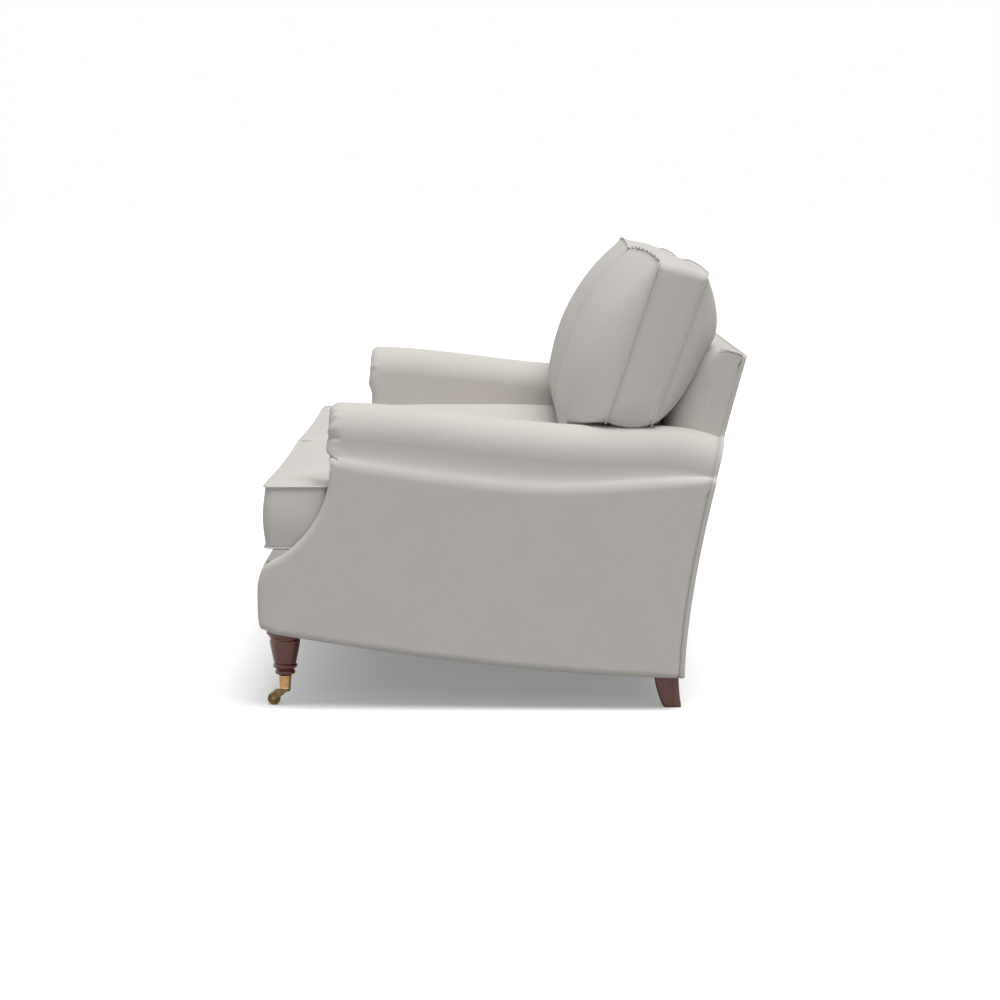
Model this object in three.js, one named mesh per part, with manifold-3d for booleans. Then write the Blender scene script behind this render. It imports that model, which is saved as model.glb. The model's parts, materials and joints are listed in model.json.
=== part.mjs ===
// English roll arm sofa: low rolled arms, T-shaped seat and back cushions, turned front legs on
// brass castors and short sabre legs behind. Millimetres, +Z up, the front faces -Y.
// The origin is on the floor under the middle of the sofa. "right" is the side at +X.
import * as THREE from 'three';
import { mergeVertices } from 'three/addons/utils/BufferGeometryUtils.js';
import Module from 'manifold-3d';

const wasm = await Module();
wasm.setup();

// Overall sizes
const sofaWidth = 1960;
const sofaDepth = 970;
const fitGap = 0.3;
const overrun = 40;

// Body: apron, bottom edge and raked back
const apronBottom = 160;
const apronHeight = 162;
const apronWidest = 240;
const apronLean = 37;
const apronToe = 20;
const apronToePower = 4;
const rearEdge = 66;
const bottomSweepPower = 1.6;
const backRise = 141;
const rakeRun = 125;
const rakeKnee = 275;
const kneeDrift = 2;
const backThickness = 130;
const backEndSetback = 80;
const backTopRound = 42;

// Arms
const armWidth = 143;
const armSetback = 140;
const armRise = 240;
const armFall = 47;
const armTailDrop = 24;
const armTailLength = 125;
const armFallShare = 0.8;
const rollRadiusAcross = 64;
const rollRadiusUp = 58;
const ridgeDrop = 124;
const ridgeFrontRise = 50;
const ridgeRearRise = 24;
const ridgeLowSetback = 435;
const ridgeLip = 3;
const armFrontRound = 22;
const armFrontPull = 16;
const coveControlShare = 0.3;
const armPadThickness = 20;
const outsidePanel = 10;
const swoopRun = 130;
const swoopRise = 190;
const swoopControlShares = [[0.015, 0.43], [0.385, 0.826]];

// Upholstery
const deckThickness = 22;
const insideBackPad = 42;
const backCapPad = 14;
const outsideBackThickness = 8;
const dustCoverThickness = 1.6;
const webWidth = 50;
const webThickness = 2.4;
const webBite = 0.6;
const seatWebCount = 9;
const seatCrossWebCount = 3;
const backWebCount = 9;
const backCrossWebCount = 2;
const backWebSetback = 10;
const backWebStandOff = 12.5;

// Hardwood frame
const railThickness = 28;
const frontRailThickness = 22;
const braceDrop = 19.5;
const armRailDeep = 40;
const armRailGap = 3.6;
const stayRailDeep = 30;
const stayRailThickness = 22;
const backPostDeep = 46;
const topRailDeep = 62;
const lowerRailDeep = 56;
const lowerRailRise = 50;
const cornerBlockLeg = 76;
const cornerBlockHeight = 60;

// Seat cushions
const seatSeamRise = 4;
const seatBoxing = 122;
const seatCrown = 34;
const seatFrontInset = 15;
const seatReach = 230;
const seatCrownPower = 2.6;
const seatDrawIn = 5;
const seatBulge = 6;
const cushionSideGap = 1.5;
const cushionMiddleGap = 0.75;

// Back cushions: each outer end is a four-cornered panel that leans back over the arm
const backCushionInset = 77;
const endLift = 1;
const endAbove = 150;
const endLowGap = 20;
const endTopGap = 8;
const endLowThickness = 93;
const endLowTip = 4;
const endHighThickness = 86;
const endHighTip = 33;
const backCushionSettle = 1.2;
const backFrontCrown = 101;
const backRearCrown = 39;
const backRearFillShare = 1.2;
const rearBulgeFromShare = 0.52;
const backReach = 150;
const backCrownPower = 3;
const backDrawIn = 7;
const backBulge = 5;

// Cushion insides
const coverWall = 12;
const zipHeight = 9;
const zipThickness = 3;
const zipMargin = 60;
const swellMargin = 24;
const boxingShares = [0.25, 0.5, 0.75];

// Front legs, turned, with their castors
const legRailGap = 2.7;
const legFlareRadius = 37;
const legFlareDrop = 12;
const legShoulderRadius = 31;
const legGrooveRadius = 29;
const legGrooveDrop = 26;
const legVaseRadius = 30.5;
const legAnkleRadius = 22;
const legRingRadius = 24.5;
const legRingRise = 20;
const legVaseRise = 5;
const legNeckRadius = 18;
const legLowRingRadius = 20.5;
const legLowRingRise = 7;
const ringHalf = 4;
const ringRoot = 1;
const turningSides = 22;
const cupHeight = 28;
const wheelTopGap = 1.6;
const cupTopRadius = 12.5;
const cupBottomRadius = 10.5;
const cupWall = 1.6;
const cupFloor = 4;
const pivotRadius = 4;
const pivotHeadRadius = 6;
const pivotHeadThickness = 2;
const turningClearance = 0.4;
const hornPlateThickness = 4;
const hornPlateRadius = 10;
const castorTrail = 22.6;
const wheelRadius = 13;
const wheelWidth = 14;
const wheelRound = 3;
const cheekThickness = 2.5;
const cheekRadius = 6;
const axleRadius = 2.5;
const axleHeadRadius = 4;
const axleHeadThickness = 1.6;
const runningClearance = 0.05;

// Rear legs
const rearLegTopDeep = 50;
const rearLegFootDeep = 36;
const rearLegWide = 44;
const rearLegRun = 6;
const rearLegBackGap = 1;

// Fixings
const boltRadius = 4;
const boltClearance = 0.4;
const boltRailGap = 1.7;
const boltIntoLeg = 34;
const boltIntoFrame = 50;
const boltEndGap = 1;
const boltSides = 12;

// Places worked out from the sizes
const apronTop = apronBottom + apronHeight;
const armTopRear = apronTop + armRise;
const armTopFront = armTopRear + armFall;
const backTop = armTopRear + backRise;
const ridgeLow = armTopRear - ridgeDrop;
const ridgeFront = ridgeLow + ridgeFrontRise;
const ridgeRear = ridgeLow + ridgeRearRise;
const frontY = -sofaDepth / 2;
const backTopY = sofaDepth / 2;
const rearFootY = backTopY - rakeRun;
const outerX = sofaWidth / 2;
const armInnerX = outerX - armWidth;
const panelInnerX = outerX - outsidePanel;
const rollCentreX = armInnerX + rollRadiusAcross;
const armFrontY = frontY + armSetback;
const backHalf = outerX - backEndSetback;
const seatSeamLow = apronTop + seatSeamRise;
const seatUnderCrown = seatSeamRise - fitGap;
const railTop = apronTop - deckThickness - fitGap;
const deckLow = apronTop - deckThickness;
const webLevel = railTop - 2 * webThickness + webBite;
const rearRailTop = webLevel - fitGap;
const lowerRailHeight = rearRailTop + lowerRailRise;
const braceTop = webLevel - braceDrop;
const railOuterX = panelInnerX - fitGap;
const railInnerX = railOuterX - railThickness;
const frontRailFrontY = frontY + apronToe + fitGap;
const frontRailRearY = frontRailFrontY + frontRailThickness;
const ridgeLowY = frontY + ridgeLowSetback;
const backPostOuterX = backHalf - backCapPad - fitGap;
const backPostInnerX = backPostOuterX - railThickness;

// Finishes
function finish(color, roughness, metalness = 0) {
  return new THREE.MeshStandardMaterial({ color, roughness, metalness });
}
const fabric = finish(0xb5b1ab, 0.95);
const foam = finish(0xe6dfc8, 0.9);
const beech = finish(0xc9a777, 0.7);
const mahogany = finish(0x4a2a22, 0.35);
const webbing = finish(0x3a3a3a, 0.9);
const lining = finish(0x202020, 0.95);
const brass = finish(0xb08a48, 0.3, 1);
const agedBrass = finish(0x6b5634, 0.45, 1);
const steel = finish(0x9a9a9a, 0.4, 1);
const zipTape = finish(0xa8a49e, 0.8);

const sofa = new THREE.Group();

function add(name, geometry, material) {
  geometry.computeVertexNormals();
  const mesh = new THREE.Mesh(geometry, material);
  mesh.name = name;
  sofa.add(mesh);
}

// Turns a closed triangle mesh so that its faces point outwards.
function outward(geometry) {
  const place = geometry.attributes.position;
  const index = geometry.index.array;
  const [a, b, c] = [new THREE.Vector3(), new THREE.Vector3(), new THREE.Vector3()];
  let volume = 0;
  for (let i = 0; i < index.length; i += 3) {
    a.fromBufferAttribute(place, index[i]);
    b.fromBufferAttribute(place, index[i + 1]);
    c.fromBufferAttribute(place, index[i + 2]);
    volume += a.dot(b.cross(c));
  }
  if (volume < 0) {
    for (let i = 0; i < index.length; i += 3) {
      [index[i], index[i + 1]] = [index[i + 1], index[i]];
    }
  }
  return geometry;
}

function welded(geometry) {
  const plain = geometry.clone();
  plain.deleteAttribute('normal');
  plain.deleteAttribute('uv');
  return outward(mergeVertices(plain));
}

function toSolid(geometry) {
  const plain = welded(geometry);
  return new wasm.Manifold(new wasm.Mesh({
    numProp: 3,
    vertProperties: new Float32Array(plain.attributes.position.array),
    triVerts: new Uint32Array(plain.index.array),
  }));
}

function toGeometry(solid) {
  const mesh = solid.getMesh();
  const geometry = new THREE.BufferGeometry();
  geometry.setAttribute('position', new THREE.BufferAttribute(new Float32Array(mesh.vertProperties), 3));
  geometry.setIndex(new THREE.BufferAttribute(new Uint32Array(mesh.triVerts), 1));
  return geometry;
}

function mirrored(geometry) {
  return outward(welded(geometry).scale(-1, 1, 1));
}

function block(x0, x1, y0, y1, z0, z1) {
  const box = new THREE.BoxGeometry(x1 - x0, y1 - y0, z1 - z0);
  return welded(box.translate((x0 + x1) / 2, (y0 + y1) / 2, (z0 + z1) / 2));
}

function shapeOf(points) {
  return new THREE.Shape(points.map(([u, v]) => new THREE.Vector2(u, v)));
}

// A board whose outline is drawn in Y and Z and that is as thick as x0 to x1.
function sideBoard(outline, x0, x1) {
  const flat = new THREE.ExtrudeGeometry(shapeOf(outline), { depth: x1 - x0, bevelEnabled: false });
  const turn = new THREE.Matrix4().set(0, 0, 1, x0, 1, 0, 0, 0, 0, 1, 0, 0, 0, 0, 0, 1);
  return welded(flat.applyMatrix4(turn));
}

// A board whose outline is drawn in X and Z and that is as thick as y0 to y1.
function frontBoard(outline, y0, y1) {
  const flat = new THREE.ExtrudeGeometry(shapeOf(outline), { depth: y1 - y0, bevelEnabled: false });
  return welded(flat.rotateX(Math.PI / 2).translate(0, y1, 0));
}

function planBoard(outline, z0, z1) {
  const flat = new THREE.ExtrudeGeometry(shapeOf(outline), { depth: z1 - z0, bevelEnabled: false });
  return welded(flat.translate(0, 0, z0));
}

function turned(outline, x, y, sides = turningSides) {
  const profile = outline.map(([radius, height]) => new THREE.Vector2(radius, height));
  const lathe = new THREE.LatheGeometry(profile, sides).rotateX(Math.PI / 2);
  return welded(lathe.translate(x, y, 0));
}

function rod(radius, x, y, z0, z1, sides = boltSides) {
  return turned([[0, z0], [radius, z0], [radius, z1], [0, z1]], x, y, sides);
}

// A rod along X, for axles.
function crossRod(radius, x0, x1, y, z, sides = turningSides) {
  return welded(rod(radius, 0, 0, x0, x1, sides).rotateY(Math.PI / 2).translate(0, y, z));
}

function steps(from, to, count) {
  return Array.from({ length: count + 1 }, (_, i) => from + ((to - from) * i) / count);
}

// Joins sections, each a list of [x, z] points at its own y, and closes both ends.
function loft(sections) {
  const count = sections[0].points.length;
  const vertices = sections.flatMap(({ y, points }) => points.flatMap(([x, z]) => [x, y, z]));
  const faces = [];
  for (let s = 0; s + 1 < sections.length; s += 1) {
    for (let i = 0; i < count; i += 1) {
      const a = s * count + i;
      const b = s * count + ((i + 1) % count);
      faces.push(a, b, b + count, a, b + count, a + count);
    }
  }
  const cap = THREE.ShapeUtils.triangulateShape(
    sections[0].points.map(([x, z]) => new THREE.Vector2(x, z)), []);
  const turnedIn = THREE.ShapeUtils.area(sections[0].points.map(([x, z]) => new THREE.Vector2(x, z))) > 0;
  const last = (sections.length - 1) * count;
  for (const [a, b, c] of cap) {
    faces.push(...(turnedIn ? [b, a, c] : [a, b, c]));
    faces.push(...(turnedIn ? [last + a, last + b, last + c] : [last + b, last + a, last + c]));
  }
  const geometry = new THREE.BufferGeometry();
  geometry.setAttribute('position', new THREE.Float32BufferAttribute(vertices, 3));
  geometry.setIndex(faces);
  return outward(geometry);
}

// Side lines of the sofa

// The bottom edge sweeps down from the apron to the rear corner.
function bottomEdge(y, raise = 0) {
  const share = THREE.MathUtils.clamp((rearFootY - y) / (rearFootY - frontY), 0, 1);
  return rearEdge + (apronBottom - rearEdge) * share ** bottomSweepPower + raise;
}

// The rear face stands upright at the foot and leans back above the knee.
const rakePoints = new THREE.QuadraticBezierCurve(
  new THREE.Vector2(rearFootY, rearEdge),
  new THREE.Vector2(rearFootY + kneeDrift, rakeKnee),
  new THREE.Vector2(backTopY, backTop)).getPoints(12).map((p) => [p.x, p.y]);

function rearY(z) {
  const last = rakePoints.length - 2;
  const found = rakePoints.findIndex(([, top]) => top > z) - 1;
  const i = found < -1 ? last : THREE.MathUtils.clamp(found, 0, last);
  const [[ay, az], [by, bz]] = [rakePoints[i], rakePoints[i + 1]];
  return ay + ((by - ay) * (z - az)) / (bz - az);
}

// The rear face between two heights, moved forward by an inset.
function rearLine(inset, low, high) {
  const between = rakePoints.filter(([, z]) => z > low + fitGap && z < high - fitGap);
  return [[rearY(low), low], ...between, [rearY(high), high]].map(([y, z]) => [y - inset, z]);
}

// A board that follows the rake, as deep as it is measured along Y.
function rakedBoard(inset, deep, low, high, x0, x1) {
  const rear = rearLine(inset, low, high);
  const front = rearLine(inset + deep, low, high).reverse();
  return sideBoard([...rear, ...front], x0, x1);
}

function armTop(y) {
  const along = (y - armFrontY) / (rearFootY - armFrontY);
  const fall = THREE.MathUtils.smoothstep(along, 0, armFallShare);
  const tail = THREE.MathUtils.clamp((y - (rearFootY + rakeRun / 2 - armTailLength)) / armTailLength, 0, 1);
  return armTopFront - (armTopFront - armTopRear) * fall - armTailDrop * tail * tail;
}

function ridge(y) {
  const front = y < ridgeLowY;
  const reach = front ? ridgeLowY - armFrontY : rearFootY + rakeRun / 2 - ridgeLowY;
  const rise = front ? ridgeFront - ridgeLow : ridgeRear - ridgeLow;
  return ridgeLow + rise * ((y - ridgeLowY) / reach) ** 2;
}

const frameRaise = dustCoverThickness + 4 * fitGap;
const frameInset = outsideBackThickness + fitGap;
const rearFrameLow = bottomEdge(rearFootY - frameInset - backPostDeep, frameRaise);

// Arm section in X and Z: plain inside face, roll, and the cove that flares out to the ridge.
const rollAngles = steps(Math.PI, -Math.PI / 10, 10);
function armSection(y, inset, foot, rim) {
  const across = rollRadiusAcross - inset;
  const up = rollRadiusUp - inset;
  const centre = armTop(y) - rollRadiusUp;
  const roll = rollAngles.map((angle) => [
    rollCentreX + across * Math.cos(angle), centre + up * Math.sin(angle)]);
  const [lastX, lastZ] = roll[roll.length - 1];
  const cove = new THREE.QuadraticBezierCurve(
    new THREE.Vector2(lastX, lastZ),
    new THREE.Vector2(lastX, rim.z + (lastZ - rim.z) * coveControlShare),
    new THREE.Vector2(rim.x, rim.z)).getPoints(3).slice(1).map((p) => [p.x, p.y]);
  return [[armInnerX + inset, foot], ...roll, ...cove, ...rim.tail];
}

// Envelope of everything in front of the outside back panel, for cutting rear ends to the rake.
function behindRake(inset) {
  const line = rearLine(inset, rearEdge - overrun, backTop + overrun);
  return sideBoard([...line, [backTopY + overrun * 4, backTop + overrun], [backTopY + overrun * 4,
    rearEdge - overrun]], -outerX - overrun, outerX + overrun);
}

// The back as a raked slab with a rounded top edge, drawn in Y and Z.
function backOutline(inset, low) {
  const rear = rearLine(inset < 0 ? -overrun : frameInset, low, backTop - inset);
  const topFrontY = rearY(backTop) - backThickness + inset;
  const round = Math.max(backTopRound - inset, fitGap);
  const slope = (rearY(backTop) - rearY(rakeKnee)) / (backTop - rakeKnee);
  const frontLowY = topFrontY - slope * (backTop - low);
  const arc = steps(0, Math.PI / 2, 5).map((angle) => [
    topFrontY + round - round * Math.sin(angle) - slope * round * (1 - Math.cos(angle)),
    backTop - inset - round + round * Math.cos(angle)]);
  return [...rear, ...arc, [frontLowY, low]];
}

const backSlab = toSolid(sideBoard(backOutline(0, deckLow), -backHalf, backHalf));

// Heights of the castor and of the leg's turnings above it
const cupBottom = 2 * wheelRadius + wheelTopGap + hornPlateThickness + turningClearance;
const cupTop = cupBottom + cupHeight;
const legLowRingCentre = cupTop + legLowRingRise;
const legRingCentre = cupTop + legRingRise;
const legVaseEnd = legRingCentre + legVaseRise;

// Front and rear leg centres
const frontLegX = railInnerX - legFlareRadius - legRailGap;
const frontLegY = frontRailRearY + boltRadius + boltRailGap;
const frontLegTop = apronBottom - fitGap;
const rearLegX = (backPostOuterX + railInnerX) / 2;
const rearLegTop = rearFrameLow - fitGap;
const rearLegFrontY = rearFootY - outsideBackThickness - rearLegBackGap - rearLegTopDeep;
const rearBoltY = rearLegFrontY + rearLegTopDeep / 2;

function boltHoleAt(x, y, z0, z1) {
  return toSolid(rod(boltRadius + boltClearance, x, y, z0, z1));
}
const frontHole = boltHoleAt(frontLegX, frontLegY, frontLegTop - overrun,
  frontLegTop + boltIntoFrame + boltEndGap);
const rearHole = boltHoleAt(rearLegX, rearBoltY, rearLegTop - overrun,
  rearLegTop + boltIntoFrame + boltEndGap);

// Frame
function buildSideFrame(put) {
  const railEnd = rearLine(frameInset + backPostDeep + fitGap, rearFrameLow, railTop);
  const railYs = steps(frontRailFrontY, railEnd[0][0], 8).slice(0, -1);
  put('side_rail', sideBoard([...railYs.map((y) => [y, bottomEdge(y, frameRaise)]), ...railEnd,
    [frontRailFrontY, railTop]], railInnerX, railOuterX));

  const postInset = armPadThickness + fitGap;
  const postFrontY = armFrontY + postInset;
  const postRearY = postFrontY + railThickness;
  const postRim = { x: railOuterX, z: ridge(postRearY) - 3 * ridgeLip,
    tail: [[railOuterX, railTop + fitGap]] };
  put('arm_front_post', frontBoard(armSection(postRearY, postInset + fitGap, railTop + fitGap, postRim),
    postFrontY, postRearY));

  const rearPostHigh = ridge(rearFootY - backPostDeep) - 3 * ridgeLip;
  put('arm_rear_post', rakedBoard(frameInset, backPostDeep, rearFrameLow, rearPostHigh,
    railInnerX, railOuterX));

  const armRailInnerX = backHalf + 2 * fitGap;
  const armRailOuterX = Math.min(railInnerX - fitGap,
    rollCentreX + rollRadiusAcross - armPadThickness - armRailGap);
  const armRailTop = (y) => armTop(y) - rollRadiusUp + (rollRadiusUp - armPadThickness) / 4;
  const armRailRearY = rearY(armTopRear - armTailDrop - rollRadiusUp - armRailDeep) - frameInset - fitGap;
  const armRailYs = steps(postRearY + fitGap, armRailRearY, 8);
  put('arm_top_rail', sideBoard([...armRailYs.map((y) => [y, armRailTop(y) - armRailDeep]),
    ...armRailYs.map((y) => [y, armRailTop(y)]).reverse()], armRailInnerX, armRailOuterX));

  const stayRearY = backFrontAt(railTop) - 2 * fitGap;
  const stayInnerX = armInnerX + postInset;
  put('arm_stay_rail', block(stayInnerX, stayInnerX + stayRailThickness, postRearY + fitGap, stayRearY,
    railTop + fitGap, railTop + fitGap + stayRailDeep));

  put('back_post', rakedBoard(frameInset, backPostDeep, rearFrameLow, backTop - backCapPad - fitGap,
    backPostInnerX, backPostOuterX));

  const blockX = [backPostOuterX + fitGap, railInnerX - fitGap];
  put('rear_corner_block', toGeometry(toSolid(rakedBoard(frameInset, backPostDeep, rearFrameLow,
    rearFrameLow + cornerBlockHeight, ...blockX)).subtract(rearHole)));

  const cornerX = railInnerX - fitGap;
  const cornerY = frontRailRearY + fitGap;
  put('front_corner_block', toGeometry(toSolid(planBoard([[cornerX, cornerY],
    [cornerX, cornerY + cornerBlockLeg], [cornerX - cornerBlockLeg, cornerY]],
  frontLegTop + fitGap, railTop)).subtract(frontHole)));
}

function backFrontAt(z) {
  const slope = (rearY(backTop) - rearY(rakeKnee)) / (backTop - rakeKnee);
  return rearY(backTop) - backThickness - slope * (backTop - z);
}

// Runs a builder for both sides; the left pieces mirror the right ones.
function onBothSides(build) {
  for (const [name, side] of [['right', 1], ['left', -1]]) {
    build((label, geometry, material = beech) => add(
      `${label}_${name}`, side > 0 ? geometry : mirrored(geometry), material));
  }
}
onBothSides(buildSideFrame);

add('front_rail', block(-railInnerX + fitGap, railInnerX - fitGap, frontRailFrontY,
  frontRailRearY, frontLegTop + fitGap, railTop), beech);
add('rear_rail', rakedBoard(frameInset, railThickness, rearFrameLow, rearRailTop,
  -backPostInnerX + fitGap, backPostInnerX - fitGap), beech);

const braceEnd = rearLine(frameInset + railThickness + fitGap, rearFrameLow, braceTop);
const braceYs = steps(frontRailRearY + fitGap, braceEnd[0][0], 8).slice(0, -1);
add('centre_brace', sideBoard([...braceYs.map((y) => [y, bottomEdge(y, frameRaise)]), ...braceEnd,
  [frontRailRearY + fitGap, braceTop]], -railThickness / 2, railThickness / 2), beech);

function backRail(low, high) {
  return rakedBoard(frameInset, railThickness, low, high, -backPostInnerX + fitGap,
    backPostInnerX - fitGap);
}
const topRailHigh = backTop - backCapPad - fitGap;
add('top_back_rail', backRail(topRailHigh - topRailDeep, topRailHigh), beech);
add('lower_back_rail', backRail(lowerRailHeight, lowerRailHeight + lowerRailDeep), beech);

// Webbing: straps that cross and are stitched together
function webGrid(x0, x1, y0, y1, level, along, across) {
  const straps = [];
  for (const x of steps(x0, x1, along - 1)) {
    straps.push(toSolid(block(x - webWidth / 2, x + webWidth / 2, y0, y1, level, level + webThickness)));
  }
  for (const y of steps(y0, y1, across + 1).slice(1, -1)) {
    straps.push(toSolid(block(x0 - webWidth / 2, x1 + webWidth / 2, y - webWidth / 2, y + webWidth / 2,
      level + webThickness - webBite, level + 2 * webThickness - webBite)));
  }
  return straps.reduce((whole, strap) => whole.add(strap));
}
const webHalf = armInnerX - webWidth;
const webRearY = rearY(rearRailTop) - frameInset - railThickness / 2;
add('seat_webbing', toGeometry(webGrid(-webHalf, webHalf, frontRailRearY + fitGap, webRearY,
  webLevel, seatWebCount, seatCrossWebCount)), webbing);

// Back webbing lies on the front of the back rails, parallel to the rake.
const backSlope = Math.atan((rearY(topRailHigh) - rearY(lowerRailHeight)) / (topRailHigh - lowerRailHeight));
const backWebLength = (topRailHigh - lowerRailHeight - backWebSetback) / Math.cos(backSlope);
const backWebLift = frameInset + railThickness + backWebStandOff;
const backWebHalf = backPostInnerX - webWidth;
const backWebs = toGeometry(webGrid(-backWebHalf, backWebHalf, 0, backWebLength, 0, backWebCount,
  backCrossWebCount));
backWebs.rotateX(Math.PI / 2 - backSlope);
backWebs.translate(0, rearY(lowerRailHeight) - backWebLift, lowerRailHeight);
add('back_webbing', backWebs, webbing);

// Upholstery

// The deck is T-shaped, like the cushions that lie on it.
const deckRearY = backFrontAt(deckLow) - fitGap;
const deckHalf = armInnerX - fitGap;
const deckFrontY = frontY + apronLean + fitGap;
const earRearY = armFrontY - fitGap;
const deckOutline = [[-railOuterX, deckFrontY], [railOuterX, deckFrontY], [railOuterX, earRearY],
  [deckHalf, earRearY], [deckHalf, deckRearY], [-deckHalf, deckRearY], [-deckHalf, earRearY],
  [-railOuterX, earRearY]];
add('seat_deck', planBoard(deckOutline, deckLow, apronTop), fabric);

// The padded apron wraps the front rail and rolls back over its top edge to the deck.
const apronFace = [
  ...steps(Math.PI / 2, 0, 6).map((angle) => Math.sin(angle)).map((t) => [
    frontY + apronToe * (1 - (1 - t ** apronToePower) ** (1 / apronToePower)),
    apronWidest - (apronWidest - apronBottom) * t]),
  ...steps(0, Math.PI / 2, 7).slice(1).map((angle) => [
    frontY + apronLean * (1 - Math.cos(angle)), apronWidest + (apronTop - apronWidest) * Math.sin(angle)])];
add('front_border', sideBoard([...apronFace, [deckFrontY - fitGap, railTop + fitGap],
  [frontRailFrontY - fitGap, railTop + fitGap], [frontRailFrontY - fitGap, apronBottom]],
-panelInnerX + fitGap, panelInnerX - fitGap), fabric);

// Inside arm, roll and cove in one padded cover, open underneath and behind its front post
const armYs = steps(armFrontY + armFrontRound, backTopY, 12);
const armFrontCurve = steps(0, Math.PI / 2, 4).map((angle) => [
  armFrontRound * (1 - Math.cos(angle)), armFrontPull * (1 - Math.sin(angle))]);
function armSolid(grow) {
  const lip = ridgeLip;
  const rimAt = (y, inset) => ({ x: outerX - inset + grow, z: ridge(y),
    tail: [[panelInnerX - fitGap * 2, ridge(y) - lip], [panelInnerX - fitGap * 2, deckLow]] });
  const rounded = armFrontCurve.map(([run, inset]) => {
    const y = armFrontY + run - grow;
    return { y, points: armSection(y, inset - grow, deckLow, rimAt(y, inset)) };
  });
  const straight = armYs.slice(1).map((y) => (
    { y, points: armSection(y, -grow, deckLow, rimAt(y, 0)) }));
  return toSolid(loft([...rounded, ...straight]));
}
function armCavity() {
  const sections = steps(armFrontY + armPadThickness, backTopY + overrun, 12).map((y) => {
    const rim = { x: panelInnerX, z: ridge(y) - 2 * ridgeLip,
      tail: [[outerX + overrun, ridge(y) - 2 * ridgeLip], [outerX + overrun, deckLow - overrun]] };
    return { y, points: armSection(y, armPadThickness, deckLow - overrun, rim) };
  });
  return toSolid(loft(sections));
}
const backClear = toSolid(sideBoard(backOutline(-fitGap, deckLow - overrun), -backHalf - fitGap,
  backHalf + fitGap));
const armCover = armSolid(0).subtract(armCavity()).subtract(backClear)
  .subtract(toSolid(behindRake(frameInset)));

// Outside arm: a flat panel from the apron to the rear edge, its front cut in a swoop
function outsideArm() {
  const topY = armFrontY + fitGap;
  const topZ = ridge(armFrontY) - ridgeLip - fitGap;
  const controls = swoopControlShares.map(([run, rise]) => new THREE.Vector2(
    topY - swoopRun * run, topZ - swoopRise * rise));
  const swoop = new THREE.CubicBezierCurve(new THREE.Vector2(topY, topZ), ...controls,
    new THREE.Vector2(topY - swoopRun, topZ - swoopRise)).getPoints(10).map((p) => [p.x, p.y]);
  const lowFace = apronFace.filter(([, z]) => z < topZ - swoopRise - ridgeLip).reverse();
  const bottom = steps(frontY + apronToe, rearFootY - frameInset, 10).slice(1)
    .map((y) => [y, bottomEdge(y)]);
  const rearHigh = ridge(rearFootY + rakeRun / 2) - 2 * ridgeLip;
  const rear = rearLine(frameInset, rearEdge, rearHigh).slice(1);
  const top = armYs.filter((y) => y < rear[rear.length - 1][0] - fitGap)
    .map((y) => [y, ridge(y) - ridgeLip - fitGap]).reverse();
  return sideBoard([...bottom, ...rear, ...top, ...swoop, ...lowFace], panelInnerX, outerX);
}
onBothSides((put) => {
  put('arm_cover', toGeometry(armCover), fabric);
  put('outside_arm', outsideArm(), fabric);
});

// Inside back: front pad, sides and top in one cover, hollow for the frame and open behind
const backHollow = toSolid(sideBoard([
  ...rearLine(-overrun, deckLow - overrun, backTop - backCapPad),
  [backFrontAt(backTop - backCapPad) + insideBackPad, backTop - backCapPad],
  [backFrontAt(deckLow - overrun) + insideBackPad, deckLow - overrun]],
  -backHalf + backCapPad, backHalf - backCapPad));
add('inside_back', toGeometry(backSlab.subtract(backHollow)), fabric);

// Outside back: a thin panel bent to the rake, narrower above the arms
const outsideSheet = toSolid(rakedBoard(0, outsideBackThickness, rearEdge, backTop, -outerX, outerX));
const shoulderZ = armTop(rearFootY + rakeRun / 2);
const shoulderX = rollCentreX + rollRadiusAcross;
const shoulderCut = frontBoard([[backHalf, shoulderZ], [rollCentreX, shoulderZ],
  ...steps(Math.PI / 2, 0, 5).map((angle) => [rollCentreX + rollRadiusAcross * Math.cos(angle),
    shoulderZ - rollRadiusUp + rollRadiusUp * Math.sin(angle)]),
  [shoulderX, ridge(rearFootY) + ridgeLip], [outerX + overrun, ridge(rearFootY)],
  [outerX + overrun, backTop + overrun], [backHalf, backTop + overrun]], 0, backTopY + overrun);
add('outside_back', toGeometry(outsideSheet.subtract(toSolid(shoulderCut))
  .subtract(toSolid(mirrored(shoulderCut)))), fabric);

// Dust cover under the rails, notched round the legs
const coverYs = steps(frontRailFrontY, rearFootY - frameInset, 10);
const coverSheet = toSolid(sideBoard([...coverYs.map((y) => [y, bottomEdge(y, fitGap)]),
  ...coverYs.map((y) => [y, bottomEdge(y, fitGap + dustCoverThickness)]).reverse()],
-railOuterX, railOuterX));
const notchInnerX = frontLegX - legFlareRadius - fitGap;
const notchRearY = frontLegY + legFlareRadius + fitGap;
const coverNotches = [-1, 1].flatMap((side) => [
  block(notchInnerX, outerX, frontY, notchRearY, rearEdge, apronTop),
  block(rearLegX - rearLegWide / 2 - fitGap, rearLegX + rearLegWide / 2 + fitGap,
    rearLegFrontY - fitGap, backTopY, 0, apronBottom),
].map((notch) => toSolid(side > 0 ? notch : mirrored(notch))));
add('dust_cover', toGeometry(coverNotches.reduce((sheet, notch) => sheet.subtract(notch), coverSheet)),
  lining);

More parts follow.
